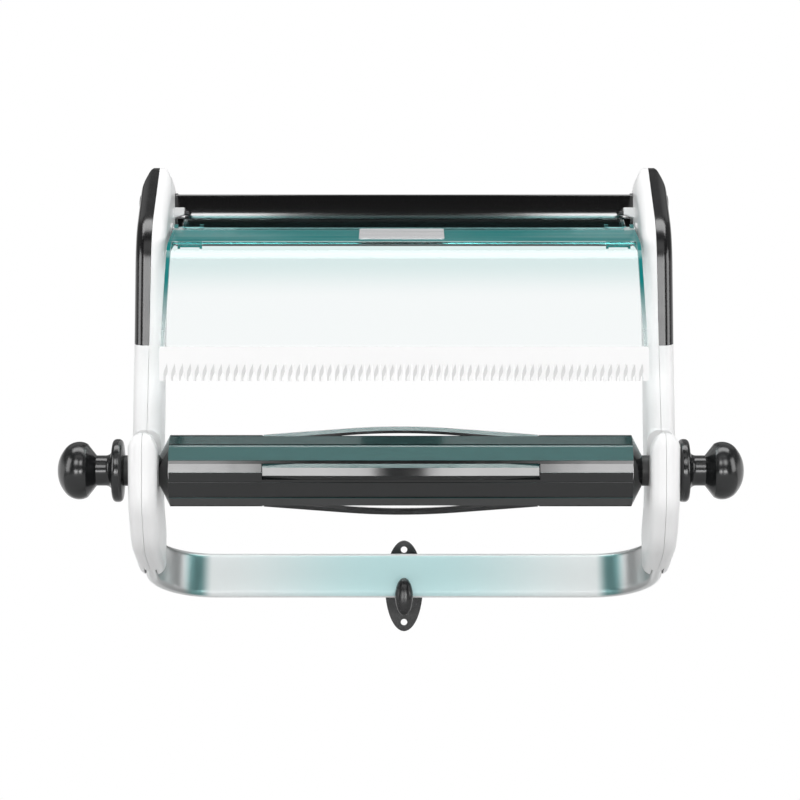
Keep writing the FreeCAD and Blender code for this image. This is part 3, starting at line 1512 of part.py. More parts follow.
def make_knobs():
    """A flange, a neck and a flattened ball, turned about the spindle's axis."""
    body = new_body("right_knob")
    profile = new_sketch(body, "knob_profile", "XY_Plane")
    seat = size.tube_radius + size.running_gap
    ball_half = size.ball_half_length
    draw_run(
        profile,
        [
            (flange_face, seat),
            (flange_face, size.bush_radius),
            (flange_face + size.flange_slant, size.flange_radius, size.flange_edge),
            (flange_face + size.flange_thickness, size.flange_radius, size.flange_edge),
            (
                flange_face + size.flange_thickness + size.flange_slant,
                size.neck_radius,
                size.neck_fillet,
            ),
            (ball_centre - size.neck_cone_start, size.neck_radius),
            (ball_centre - size.neck_cone_end, size.neck_cone_radius),
            (ball_centre - size.ball_shoulder, size.ball_radius, size.ball_shoulder_radius),
            (ball_centre + ball_half * OVAL_CORNER, size.ball_radius, ball_half * BALL_TOP),
            (ball_centre + ball_half, size.ball_radius * OVAL_CORNER, size.ball_radius * BALL_END),
            (ball_centre + ball_half, 0),
            (flange_face + size.tube_seat, 0),
            (flange_face + size.tube_seat, seat),
        ],
    )
    revolve(body, profile)
    place_on_axis(body)
    keep_pair(body, -size.spindle_shift)


def make_leaf_springs():
    """Four bowed springs that press on the inside of the roll's core."""
    crown_inside = size.leaf_crown - size.leaf_thickness
    end_inside = size.leaf_end - size.leaf_thickness
    inner_bow = size.leaf_bow - size.leaf_thickness
    half = size.leaf_half_length
    for quarter, name in enumerate(("top", "front", "bottom", "back")):
        body = new_body(f"leaf_spring_{name}")
        bow = new_sketch(body, f"leaf_bow_{name}", "XZ_Plane")
        draw_run(
            bow,
            [
                (-half, end_inside),
                (0, crown_inside, inner_bow),
                (half, end_inside),
                (half, size.leaf_end),
                (0, size.leaf_crown, size.leaf_bow),
                (-half, size.leaf_end),
            ],
        )
        pad(body, bow, size.leaf_width, both_ways=True)
        bevel = (size.leaf_width - size.leaf_flat) / 2
        dress_edges(body, "Chamfer", bevel, edge_is_along_leaf)
        place_on_axis(body, quarter)
        keep(body)


def edge_is_along_leaf(edge):
    """Tells the edges that run along a leaf spring's outer face."""
    box = edge.BoundBox
    middle_x = abs((box.XMin + box.XMax) / 2)
    slope = (size.leaf_crown - size.leaf_end).value / size.leaf_half_length.value
    outer_level = size.leaf_crown.value - slope * middle_x
    below = outer_level - (box.ZMin + box.ZMax) / 2
    return box.XLength > size.leaf_width.value and below < size.leaf_thickness.value / 2


def check_document():
    """Every object must have come out well, and every piece must be a sound shape."""
    for thing in doc.Objects:
        if "Invalid" in thing.State or "Error" in thing.State:
            raise RuntimeError(f"{thing.Label} failed: {thing.State}")
    for piece in pieces:
        if piece.Shape.isNull() or not piece.Shape.isValid():
            raise RuntimeError(f"{piece.Label} has no sound shape")


def main():
    make_crossbar()
    make_end_plate()
    make_wall_rail()
    make_inner_shell()
    make_outer_shell()
    make_trim()
    make_cap()
    make_arm_screws()
    make_pins()
    make_bar()
    make_wall_hook()
    make_cover()
    make_blade()
    make_plate()
    make_spindle_shells()
    make_shell_screws()
    make_tube()
    make_bushes()
    make_knobs()
    make_leaf_springs()
    doc.recompute()
    check_document()
    os.makedirs("parts", exist_ok=True)
    for piece in pieces:
        piece.Shape.exportStep(f"parts/{piece.Label}.step")


main()
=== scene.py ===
"""Looks of the wall-mounted paper roll holder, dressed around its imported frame."""

import math

import bmesh
import bpy
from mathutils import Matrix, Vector


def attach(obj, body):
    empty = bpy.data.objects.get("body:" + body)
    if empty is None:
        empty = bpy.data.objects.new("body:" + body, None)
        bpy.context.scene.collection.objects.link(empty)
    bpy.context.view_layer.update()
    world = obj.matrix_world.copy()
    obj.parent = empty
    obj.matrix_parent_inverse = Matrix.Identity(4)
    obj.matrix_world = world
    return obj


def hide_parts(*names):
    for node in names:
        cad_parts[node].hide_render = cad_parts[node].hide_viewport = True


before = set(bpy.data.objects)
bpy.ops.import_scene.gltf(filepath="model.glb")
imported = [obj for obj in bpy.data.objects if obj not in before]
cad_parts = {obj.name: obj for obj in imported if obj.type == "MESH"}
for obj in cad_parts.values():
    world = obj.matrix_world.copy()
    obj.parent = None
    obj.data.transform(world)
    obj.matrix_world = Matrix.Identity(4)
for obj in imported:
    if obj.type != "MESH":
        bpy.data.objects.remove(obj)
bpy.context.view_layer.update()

# Studio: the camera, in metres and millimetres of lens

CAMERA_PLACE = (0.0, -3.230, 0.2187)
CAMERA_TILT = 90.0
CAMERA_LENS = 143.3
CAMERA_SENSOR = 36.0
CAMERA_SHIFT = (-0.005, -0.0375)
CAMERA_REACH = 50.0

# Studio: the pale floor, and where it turns into the white backdrop

FLOOR_HEIGHT = -0.30
FLOOR_HALF = 12.0
FLOOR_COLOUR = (0.58, 0.58, 0.58, 1.0)
FLOOR_BLEND = (0.15, 0.55)
FLOOR_RIM = (1.0, 2.4)

# Studio: the room as the holder mirrors it, and the light that it gives

BACKDROP_EDGE = (-0.35, 0.15)
BACKDROP_TOP = (0.10, 0.30)
CEILING_LIGHT = 0.15
ROOM_LIGHT = 0.05
AMBIENT_LIGHT = 0.8
FRONT_THROUGH_COVER = 0.5

# Studio: each lamp's name, place, the point that it faces, width, height and watts

LAMPS = (
    ("key_left_lamp", (-0.88, -2.95, 2.0), (0.0, -0.15, 0.25), 1.25, 1.05, 19.0),
    ("key_right_lamp", (0.88, -2.95, 2.0), (0.0, -0.15, 0.25), 1.25, 1.05, 19.0),
    ("low_left_lamp", (-0.80, -3.2, -0.01), (0.0, -0.2, 0.15), 1.1, 0.54, 15.5),
    ("low_right_lamp", (0.80, -3.2, -0.01), (0.0, -0.2, 0.15), 1.1, 0.54, 15.5),
    ("side_left_lamp", (-2.1, -1.0, 0.8), (0.0, -0.15, 0.2), 1.0, 1.6, 16.0),
    ("side_right_lamp", (2.1, -1.0, 0.8), (0.0, -0.15, 0.2), 1.0, 1.6, 16.0),
    ("upper_lamp", (0.0, -1.45, 2.2), (0.0, -0.15, 0.25), 2.2, 0.7, 3.0),
    ("top_lamp", (0.0, -0.055, 2.03), (0.0, -0.055, 0.0), 2.6, 0.71, 22.0),
    ("rear_lamp", (0.0, 2.06, 2.45), (0.0, -0.15, 0.2), 5.0, 1.6, 6.0),
)


def set_camera():
    """A long lens straight in front of the holder, a little above its middle."""
    data = bpy.data.cameras.new("camera")
    data.lens = CAMERA_LENS
    data.sensor_width = CAMERA_SENSOR
    data.shift_x, data.shift_y = CAMERA_SHIFT
    data.clip_end = CAMERA_REACH
    camera = bpy.data.objects.new("camera", data)
    camera.location = CAMERA_PLACE
    camera.rotation_euler = (math.radians(CAMERA_TILT), 0.0, 0.0)
    bpy.context.scene.collection.objects.link(camera)
    bpy.context.scene.camera = camera


def set_lamp(name, place, target, width, height, power):
    """A rectangular soft box that faces a point."""
    data = bpy.data.lights.new(name, "AREA")
    data.shape = "RECTANGLE"
    data.size = width
    data.size_y = height
    data.energy = power
    lamp = bpy.data.objects.new(name, data)
    lamp.location = place
    aim = Vector(target) - Vector(place)
    lamp.rotation_euler = aim.to_track_quat("-Z", "Y").to_euler()
    lamp.visible_camera = False
    bpy.context.scene.collection.objects.link(lamp)


def ramp(tree, source, span, start, end):
    """A smooth step from start to end while the source goes through the span."""
    step = tree.nodes.new("ShaderNodeMapRange")
    step.interpolation_type = "SMOOTHSTEP"
    step.inputs["From Min"].default_value, step.inputs["From Max"].default_value = span
    step.inputs["To Min"].default_value = start
    step.inputs["To Max"].default_value = end
    tree.links.new(source, step.inputs["Value"])
    return step.outputs["Result"]


def work(tree, operation, *sources):
    """One sum, product or comparison of sockets and numbers."""
    node = tree.nodes.new("ShaderNodeMath")
    node.operation = operation
    for slot, source in zip(node.inputs, sources):
        if isinstance(source, (int, float)):
            slot.default_value = source
        else:
            tree.links.new(source, slot)
    return node.outputs["Value"]


def between(tree, source, rise, fall):
    """One between a smooth rise and a smooth fall, nought outside them."""
    return work(tree, "MULTIPLY", ramp(tree, source, rise, 0.0, 1.0), ramp(tree, source, fall, 1.0, 0.0))


def three_parts(tree, kind):
    """A coordinate of the shaded point, split into its three parts."""
    place = tree.nodes.new("ShaderNodeTexCoord")
    split = tree.nodes.new("ShaderNodeSeparateXYZ")
    tree.links.new(place.outputs[kind], split.inputs["Vector"])
    return split.outputs


def seen_directly(tree):
    """What the camera sees directly, in a shine, and through the clear cover."""
    path = tree.nodes.new("ShaderNodeLightPath")
    return (path.outputs[f"Is {kind} Ray"] for kind in ("Camera", "Glossy", "Transmission"))


def set_world():
    """A white backdrop behind the holder, a dim room in front of it and above it."""
    world = bpy.data.worlds.new("studio")
    bpy.context.scene.world = world
    world.use_nodes = True
    tree = world.node_tree
    tree.nodes.clear()
    direction = three_parts(tree, "Generated")
    behind = ramp(tree, direction["Y"], BACKDROP_EDGE, 0.0, 1.0)
    below = ramp(tree, direction["Z"], BACKDROP_TOP, 1.0, CEILING_LIGHT)
    backdrop = work(tree, "MULTIPLY", behind, below)
    direct, mirrored, through = seen_directly(tree)
    mirror_view = work(tree, "MULTIPLY", mirrored, backdrop)
    room = work(tree, "MULTIPLY_ADD", backdrop, 1.0 - ROOM_LIGHT, ROOM_LIGHT)
    ambient = work(tree, "MULTIPLY", room, AMBIENT_LIGHT)
    clear_view = work(tree, "MULTIPLY", through, work(tree, "MAXIMUM", behind, FRONT_THROUGH_COVER))
    seen = work(tree, "MAXIMUM", direct, clear_view)
    strength = work(tree, "MAXIMUM", work(tree, "MAXIMUM", mirror_view, ambient), seen)
    sky = tree.nodes.new("ShaderNodeBackground")
    sky.inputs["Color"].default_value = (1.0, 1.0, 1.0, 1.0)
    out = tree.nodes.new("ShaderNodeOutputWorld")
    tree.links.new(strength, sky.inputs["Strength"])
    tree.links.new(sky.outputs["Background"], out.inputs["Surface"])


def floor_finish():
    """Pale floor that turns into the white backdrop behind the holder and far from it."""
    finish = bpy.data.materials.new("pale_floor")
    finish.use_nodes = True
    tree = finish.node_tree
    tree.nodes.clear()
    matt = tree.nodes.new("ShaderNodeBsdfDiffuse")
    matt.inputs["Color"].default_value = FLOOR_COLOUR
    glow = tree.nodes.new("ShaderNodeEmission")
    glow.inputs["Strength"].default_value = 1.0
    place = tree.nodes.new("ShaderNodeTexCoord")
    reach = tree.nodes.new("ShaderNodeVectorMath")
    reach.operation = "LENGTH"
    tree.links.new(place.outputs["Object"], reach.inputs[0])
    behind = ramp(tree, three_parts(tree, "Object")["Y"], FLOOR_BLEND, 0.0, 1.0)
    far = ramp(tree, reach.outputs["Value"], FLOOR_RIM, 0.0, 1.0)
    direct, mirrored, through = seen_directly(tree)
    shine = work(tree, "MULTIPLY", mirrored, behind)
    white = work(tree, "MAXIMUM", behind, far)
    seen = work(tree, "MAXIMUM", direct, through)
    share = work(tree, "MAXIMUM", work(tree, "MULTIPLY", seen, white), shine)
    mix = tree.nodes.new("ShaderNodeMixShader")
    out = tree.nodes.new("ShaderNodeOutputMaterial")
    tree.links.new(share, mix.inputs["Fac"])
    tree.links.new(matt.outputs["BSDF"], mix.inputs[1])
    tree.links.new(glow.outputs["Emission"], mix.inputs[2])
    tree.links.new(mix.outputs["Shader"], out.inputs["Surface"])
    return finish


def keep_mesh(name, shape, finish):
    """Turns a finished shape into an object of the scene."""
    mesh = bpy.data.meshes.new(name)
    shape.to_mesh(mesh)
    shape.free()
    mesh.materials.append(finish)
    piece = bpy.data.objects.new(name, mesh)
    bpy.context.scene.collection.objects.link(piece)
    return piece


def lay_floor():
    """A wide pale floor below the holder."""
    shape = bmesh.new()
    bmesh.ops.create_grid(shape, x_segments=1, y_segments=1, size=FLOOR_HALF)
    bmesh.ops.translate(shape, verts=shape.verts, vec=(0.0, 0.0, FLOOR_HEIGHT))
    floor = keep_mesh("floor", shape, floor_finish())


# Finishes: the part of a noise that is used, and the scales of the common noises

NOISE_MIDDLE = (0.3, 0.7)
PLASTIC_CLOUDS = 14.0
PLASTIC_SMEARS = 55.0
PLASTIC_RELIEF = 0.4
METAL_CLOUDS = 9.0
METAL_LINES = 60.0
METAL_RELIEF = 0.5
LENGTHWISE = (0.02, 6.0, 6.0)

# Finishes of plastic and paint: dark and light shade, roughness, the texture's scale and
# depth, and the refraction that sets the gloss

MOULDINGS = {
    "white_moulding": ((0.86, 0.86, 0.86), (0.89, 0.89, 0.89), (0.32, 0.42), 700.0, 0.00002, 1.5),
    "black_trim": ((0.004, 0.004, 0.0045), (0.007, 0.007, 0.0075), (0.16, 0.20), 300.0, 0.000002, 1.75),
    "zinc_plating": ((0.50, 0.52, 0.54), (0.64, 0.65, 0.66), (0.28, 0.45), 160.0, 0.00004, 1.5),
    "black_hook_paint": ((0.010, 0.010, 0.011), (0.016, 0.016, 0.017), (0.22, 0.28), 420.0, 0.00001, 1.5),
    "bearing_plastic": ((0.028, 0.028, 0.028), (0.042, 0.042, 0.042), (0.38, 0.5), 380.0, 0.00005, 1.5),
    "black_spindle_plastic": (
        (0.006, 0.0065, 0.007),
        (0.010, 0.011, 0.0115),
        (0.10, 0.14),
        260.0,
        0.000002,
        1.7,
    ),
    # Grey of the tear blade's leaf facets: painted shade of its flutes
    "painted_shade_facet": ((0.64, 0.64, 0.64), (0.69, 0.69, 0.69), (0.45, 0.55), 700.0, 0.00002, 1.5),
    # Darker, duller copy of the crossbar's black for its belly: painted shade on its underside
    "painted_shade_channel": (
        (0.0015, 0.0016, 0.0016),
        (0.0022, 0.0023, 0.0023),
        (0.4, 0.5),
        300.0,
        0.000002,
        1.2,
    ),
    "deep_teal": ((0.002, 0.23, 0.22), (0.004, 0.30, 0.29), (0.15, 0.22), 300.0, 0.000002, 1.5),
    "hook_gloss": ((0.008, 0.008, 0.009), (0.012, 0.012, 0.013), (0.24, 0.30), 300.0, 0.000002, 1.7),
}

# Finishes of lined metal: dark and light shade, roughness, the lines' depth, how metallic
# it is, and the refraction that sets the gloss of what isn't

LINED_METALS = {
    "black_extrusion": (
        (0.0018, 0.0018, 0.0019),
        (0.0028, 0.0028, 0.0030),
        (0.09, 0.11),
        0.000001,
        0.0,
        2.0,
    ),
    "silver_film": ((0.76, 0.76, 0.77), (0.82, 0.82, 0.83), (0.25, 0.30), 0.000002, 0.3, 1.5),
    "bright_steel": ((0.62, 0.62, 0.63), (0.74, 0.74, 0.75), (0.12, 0.24), 0.00001, 1.0, 1.5),
}

# The clear cover: where its zones begin and end, from the middle and above the origin

COVER_RIM = (0.2222, 0.2232)
COVER_FADE = (0.245, 0.305)
COVER_BEND = (0.285, 0.325)
COVER_TURN = (0.331, 0.337)
COVER_BARE = (0.3325, 0.3335)
COVER_REAR = (0.3418, 0.3424)
COVER_LIP = (0.3553, 0.3566)
COVER_TIP = (0.3640, 0.3655)
COVER_UPWARD = (0.0, 0.2)

# The clear cover: its tints and how strongly they show, its waves and its lines

SHEET_TINT = (0.985, 1.0, 1.0)
BEND_TINT = (0.74, 0.86, 0.855)
LIP_TINT = (0.30, 0.56, 0.56)
EDGE_TINT = (0.002, 0.18, 0.177)
RIM_BELOW_FADE = 0.25
BEND_PAST_TURN = 0.8
EDGE_STRIPES = (0.93, 1.0)
EDGE_CLOUDS = (0.94, 1.0)
EDGE_COVERAGE = 0.92
EDGE_DULLNESS = 0.9
SHEET_REFRACTION = 1.05
SHEET_ROUGHNESS = (0.005, 0.02)
COAT_REFRACTION = 1.40
COAT_ROUGHNESS = 0.02
DEPTH_TINT = (0.02, 0.62, 0.60, 1.0)
DEPTH_DENSITY = 6.0
SHEET_WAVES = 7.0
SHEET_RELIEF = (0.05, 0.00001)
EDGE_LINES = 260.0
EDGE_LINE_STRETCH = (0.01, 1.0, 1.0)

# The satin bar: its zones from the middle outwards, their shades, and the painted reflection, shade and
# highlight in them

BAR_SHADES = ((0.92, 0.96, 0.96), (0.95, 0.99, 0.99))
BAR_MIDDLE = (0.02, 0.19)
# Painted reflection of the cover's teal towards the middle
BAR_MIDDLE_TEAL_REFLECTION = (0.68, 0.96, 0.97)
BAR_BAND = (0.188, 0.201)
# Painted shade and teal reflection in a band of each bend
BAR_BAND_SHADE_AND_REFLECTION = (0.22, 0.42, 0.42)
BAR_BEND = (0.207, 0.219)
# Painted shade on the bends
BAR_BEND_SHADE = (0.56, 0.57, 0.57)
BAR_EDGE = (0.55, 0.85)
# Painted highlight on the top and bottom faces
BAR_EDGE_HIGHLIGHT = (0.90, 0.91, 0.91)
BAR_METAL_FROM = (0.190, 0.205)
BAR_METAL = (0.05, 0.80)
BAR_ROUGHNESS = (0.30, 0.33)
BAR_CLOUDS = 6.0
BAR_CLOUD_STRETCH = (1.0, 5.0, 5.0)
BAR_SMEARS = 40.0
BAR_GRAIN = 900.0
BAR_RELIEF = (0.2, 0.000004)

# The spindle: how far its faces look up for the painted reflection of the cover's teal, its ends and its
# knobs from the middle

SPINDLE_UPWARD = (0.25, 0.45)
SPINDLE_TOP = (0.60, 0.85)
SPINDLE_TOP_SHARE = 0.35
SPINDLE_END = (0.2295, 0.2300)
# Painted reflection of the cover's teal
SPINDLE_TEAL_REFLECTION = (0.035, 0.110, 0.108)
KNOB_START = (0.2620, 0.2630)
KNOB_ROUGHER = 0.10


def new_finish(name):
    """A material with its node tree and its shader."""
    finish = bpy.data.materials.new(name)
    finish.use_nodes = True
    tree = finish.node_tree
    return finish, tree, tree.nodes["Principled BSDF"]


def grain(tree, scale, stretch=(1.0, 1.0, 1.0), detail=3.0):
    """Noise on the piece's own coordinates, stretched along them."""
    place = tree.nodes.new("ShaderNodeTexCoord")
    lay = tree.nodes.new("ShaderNodeMapping")
    lay.inputs["Scale"].default_value = stretch
    noise = tree.nodes.new("ShaderNodeTexNoise")
    noise.inputs["Scale"].default_value = scale
    noise.inputs["Detail"].default_value = detail
    tree.links.new(place.outputs["Object"], lay.inputs["Vector"])
    tree.links.new(lay.outputs["Vector"], noise.inputs["Vector"])
    return noise.outputs["Fac"]


def spread(tree, source, low, high):
    """The middle of a noise spread over a range."""
    ranged = tree.nodes.new("ShaderNodeMapRange")
    ranged.inputs["From Min"].default_value, ranged.inputs["From Max"].default_value = NOISE_MIDDLE
    ranged.inputs["To Min"].default_value = low
    ranged.inputs["To Max"].default_value = high
    tree.links.new(source, ranged.inputs["Value"])
    return ranged.outputs["Result"]


def blend(tree, factor, first, second):
    """A mix of two colours, each a socket or a plain shade."""
    mix = tree.nodes.new("ShaderNodeMix")
    mix.data_type = "RGBA"
    tree.links.new(factor, mix.inputs["Factor"])
    for name, colour in (("A", first), ("B", second)):
        if isinstance(colour, tuple):
            mix.inputs[name].default_value = (*colour, 1.0)
        else:
            tree.links.new(colour, mix.inputs[name])
    return mix.outputs["Result"]


def relief(tree, source, strength, depth):
    """Fine relief from a noise, its depth in metres."""
    bump = tree.nodes.new("ShaderNodeBump")
    bump.inputs["Strength"].default_value = strength
    bump.inputs["Distance"].default_value = depth
    tree.links.new(source, bump.inputs["Height"])
    return bump.outputs["Normal"]


def moulded(name):
    """Moulded plastic: cloudy colour, uneven gloss and a fine surface texture."""
    dark, light, roughness, texture_scale, texture_depth, refraction = MOULDINGS[name]
    finish, tree, shader = new_finish(name)
    clouds = grain(tree, PLASTIC_CLOUDS)
    smears = grain(tree, PLASTIC_SMEARS, detail=4.0)
    texture = grain(tree, texture_scale, detail=2.0)
    tree.links.new(blend(tree, clouds, dark, light), shader.inputs["Base Color"])
    tree.links.new(spread(tree, smears, *roughness), shader.inputs["Roughness"])
    tree.links.new(relief(tree, texture, PLASTIC_RELIEF, texture_depth), shader.inputs["Normal"])
    shader.inputs["IOR"].default_value = refraction
    return finish


def lined_metal(name):
    """Metal or film with fine lines along its length."""
    dark, light, roughness, line_depth, metallic, refraction = LINED_METALS[name]
    finish, tree, shader = new_finish(name)
    clouds = grain(tree, METAL_CLOUDS)
    lines = grain(tree, METAL_LINES, LENGTHWISE, detail=5.0)
    tree.links.new(blend(tree, clouds, dark, light), shader.inputs["Base Color"])
    tree.links.new(spread(tree, lines, *roughness), shader.inputs["Roughness"])
    tree.links.new(relief(tree, lines, METAL_RELIEF, line_depth), shader.inputs["Normal"])
    shader.inputs["Metallic"].default_value = metallic
    shader.inputs["IOR"].default_value = refraction
    return finish


def clear_teal():
    """Clear sheet: nearly colourless in front, pale teal at its bend, deep teal along its edges."""
    finish, tree, shader = new_finish("clear_teal_sheet")
    wave = grain(tree, SHEET_WAVES, detail=1.0)
    lines = grain(tree, EDGE_LINES, EDGE_LINE_STRETCH, detail=1.0)
    place = three_parts(tree, "Object")
    height = place["Z"]

    # Deep teal edges: the side rims, and the upper side of the rear edge with its stripes
    side = ramp(tree, work(tree, "ABSOLUTE", place["X"]), COVER_RIM, 0.0, 1.0)
    rim = work(tree, "MULTIPLY", side, ramp(tree, height, COVER_FADE, RIM_BELOW_FADE, 1.0))
    upward = ramp(tree, three_parts(tree, "Normal")["Z"], COVER_UPWARD, 0.0, 1.0)
    upper = work(tree, "MULTIPLY", between(tree, height, COVER_REAR, COVER_LIP), upward)
    striped = work(tree, "MULTIPLY", upper, spread(tree, lines, *EDGE_STRIPES))
    edge = work(tree, "MAXIMUM", rim, striped)

    # The clear sheet's own tint: panel, bend and lip
    rise = ramp(tree, height, COVER_BEND, 0.0, 1.0)
    bend = work(tree, "MULTIPLY", rise, ramp(tree, height, COVER_TURN, 1.0, BEND_PAST_TURN))
    panel = blend(tree, bend, SHEET_TINT, BEND_TINT)
    sheet = blend(tree, between(tree, height, COVER_LIP, COVER_TIP), panel, LIP_TINT)
    cloudy = work(tree, "MULTIPLY", edge, spread(tree, wave, *EDGE_CLOUDS))
    tree.links.new(blend(tree, cloudy, sheet, EDGE_TINT), shader.inputs["Base Color"])
    clear = work(tree, "MULTIPLY_ADD", edge, -EDGE_COVERAGE, 1.0)
    tree.links.new(clear, shader.inputs["Transmission Weight"])
    shader.inputs["IOR"].default_value = SHEET_REFRACTION

    # Gloss on all of the sheet but its turn and, mostly, its rear edge
    bare = between(tree, height, COVER_BARE, COVER_REAR)
    dull = work(tree, "MAXIMUM", bare, work(tree, "MULTIPLY", upper, EDGE_DULLNESS))
    tree.links.new(work(tree, "SUBTRACT", 1.0, dull), shader.inputs["Coat Weight"])
    shader.inputs["Coat IOR"].default_value = COAT_REFRACTION
    shader.inputs["Coat Roughness"].default_value = COAT_ROUGHNESS
    tree.links.new(spread(tree, wave, *SHEET_ROUGHNESS), shader.inputs["Roughness"])
    tree.links.new(relief(tree, wave, *SHEET_RELIEF), shader.inputs["Normal"])
    depth = tree.nodes.new("ShaderNodeVolumeAbsorption")
    depth.inputs["Color"].default_value = DEPTH_TINT
    depth.inputs["Density"].default_value = DEPTH_DENSITY
    tree.links.new(depth.outputs["Volume"], tree.nodes["Material Output"].inputs["Volume"])
    return finish


def satin_bar():
    """Satin aluminium with a painted reflection of the cover's teal towards its middle and in a band of
    each bend, painted shade on its bends and a painted highlight on its top and bottom faces.
    """
    finish, tree, shader = new_finish("satin_bar")
    aside = work(tree, "ABSOLUTE", three_parts(tree, "Object")["X"])
    plain = blend(tree, grain(tree, BAR_CLOUDS, BAR_CLOUD_STRETCH), *BAR_SHADES)
    # Painted reflection of the cover's teal, then painted shade in the bands and bends, then a painted
    # highlight on the top and bottom faces
    straight = blend(tree, ramp(tree, aside, BAR_MIDDLE, 1.0, 0.0), plain, BAR_MIDDLE_TEAL_REFLECTION)
    with_band_shade = blend(tree, ramp(tree, aside, BAR_BAND, 0.0, 1.0), straight, BAR_BAND_SHADE_AND_REFLECTION)
    with_bend_shade = blend(tree, ramp(tree, aside, BAR_BEND, 0.0, 1.0), with_band_shade, BAR_BEND_SHADE)
    # Painted highlight on the faces that look up or down
    upright = work(tree, "ABSOLUTE", three_parts(tree, "Normal")["Z"])
    edge = ramp(tree, upright, BAR_EDGE, 0.0, 1.0)
    tree.links.new(blend(tree, edge, with_bend_shade, BAR_EDGE_HIGHLIGHT), shader.inputs["Base Color"])
    smears = spread(tree, grain(tree, BAR_SMEARS), *BAR_ROUGHNESS)
    tree.links.new(smears, shader.inputs["Roughness"])
    tree.links.new(relief(tree, grain(tree, BAR_GRAIN), *BAR_RELIEF), shader.inputs["Normal"])
    tree.links.new(ramp(tree, aside, BAR_METAL_FROM, *BAR_METAL), shader.inputs["Metallic"])
    return finish


def spindle_plastic():
    """Black gloss plastic with a painted reflection of the cover's teal on its upward faces."""
    finish = moulded("black_spindle_plastic")
    tree = finish.node_tree
    shader = tree.nodes["Principled BSDF"]
    facing = three_parts(tree, "Normal")["Z"]
    aside = work(tree, "ABSOLUTE", three_parts(tree, "Object")["X"])
    # Painted reflection of the cover's teal on faces that look up, kept off the knobs
    upward = ramp(tree, facing, SPINDLE_UPWARD, 0.0, 1.0)
    slanted = work(tree, "MULTIPLY", upward, ramp(tree, facing, SPINDLE_TOP, 1.0, SPINDLE_TOP_SHARE))
    tint = work(tree, "MULTIPLY", slanted, ramp(tree, aside, SPINDLE_END, 1.0, 0.0))
    black = shader.inputs["Base Color"].links[0].from_socket
    tree.links.new(blend(tree, tint, black, SPINDLE_TEAL_REFLECTION), shader.inputs["Base Color"])
    smears = shader.inputs["Roughness"].links[0].from_socket
    knobs = ramp(tree, aside, KNOB_START, 0.0, KNOB_ROUGHER)
    tree.links.new(work(tree, "ADD", smears, knobs), shader.inputs["Roughness"])
    return finish


def make_finishes():
    """The finish of every material slot of the frame."""
    return {
        "white_plastic": moulded("white_moulding"),
        "black_gloss_plastic": moulded("black_trim"),
        "black_aluminium": lined_metal("black_extrusion"),
        "zinc_steel": moulded("zinc_plating"),
        "satin_aluminium": satin_bar(),
        "black_plastic": moulded("black_hook_paint"),
        "clear_teal_plastic": clear_teal(),
        "silver_plate": lined_metal("silver_film"),
        "bright_steel": lined_metal("bright_steel"),
        "grey_plastic": moulded("bearing_plastic"),
        "spindle_plastic": spindle_plastic(),
    }


def dress_frame(finishes):
    """Gives every node of the frame the finish of its slot."""
    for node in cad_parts.values():
        slot = node.data.materials[0].name.split(".")[0]
        node.data.materials[0] = finishes[slot]


# Pieces shaped here: shading keeps an edge that turns by more than this, in degrees

FLAT_CREASE = 20.0
DOME_CREASE = 50.0
WELD_REACH = 1e-6

# Tear blade: the slanted facet of one tooth, grey as painted shade, from the tooth's middle and the
# teeth's top

TOOTH_PITCH = 0.00723
TOOTH_COUNT = 62
FIRST_TOOTH = -0.2224
TOOTH_TOP = 0.2243
BLADE_FACE = -0.2776
FACET_STEP = 0.0001
FACET_RISE = 0.0005
FACET_SINK = 0.0012
FACET_OUTLINE = (
    (0.0026, 0.0),
    (0.0013, -0.0030),
    (0.0000, -0.0060),
    (-0.0006, -0.0090),
    (-0.0006, -0.0140),
    (-0.0002, -0.0157),
    (0.0005, -0.0157),
    (0.0009, -0.0125),
    (0.0023, -0.0100),
    (0.0033, -0.0072),
    (0.0031, -0.0035),
)

# Crossbar: depth and height of its profile, from the wall and above the origin

CROSSBAR_HALF = 0.227
CROSSBAR_TOP = 0.395
CROSSBAR_FRONT = -0.032
CROSSBAR_WALL = 0.0025
CROSSBAR_BOTTOM = 0.352
BROW_RADIUS = 0.0014
BROW_STEPS = 6
NOSE_TOP = 0.3785
NOSE_RADIUS = 0.058
NOSE_TURN = 8.0
NOSE_STEPS = 8
GROOVE_DEPTH = 0.0010
BELLY_RADIUS = 0.0303
BELLY_CENTRE = (-0.0031, 0.3823)
BELLY_START = 25.0
BELLY_STEPS = 12
CROSSBAR_RIB = ((-0.0051, -0.0026), (0.3775, 0.393))
CROSSBAR_PORTS = ((-0.0255, 0.3885), (-0.0100, 0.3585))
PORT_RADIUS = 0.0045
PORT_BORE = 0.0025
PORT_STEPS = 24

# Spindle: the skirts on its front faces

SPINDLE_FACE = -0.26340
SKIRT_HEIGHTS = (0.1150, 0.1232)
SKIRT_RISE = 0.0012
SKIRT_BEVEL = 0.0002
SKIRT_LEDGE = 0.0005
SKIRT_ENDS = ((-0.2195, -0.1325), (0.1270, 0.2135))

# Cover: the blocks at its hinges, each with two feet

HINGE_BLOCK_ENDS = (0.1980, 0.2215)
HINGE_BLOCK_DEPTHS = (-0.1120, -0.1085)
HINGE_BLOCK_HEIGHTS = (0.3405, 0.3555)
HINGE_BLOCK_SLANT = 0.001
HINGE_FOOT_INSET = 0.001
HINGE_FOOT_HALF = 0.0012
HINGE_FOOT_STEP = 0.001
HINGE_FOOT_RISE = 0.002

# Wall hook's head: its middle, half sizes, and steps around and along it

HOOK_HEAD = (0.0, -0.1030, -0.0043)
HOOK_HEAD_SIZE = (0.0086, 0.0060, 0.0180)
HOOK_HEAD_STEPS = (48, 24)

# Arm's button: the face that it stands on, its middle, and radius and rise of its profile

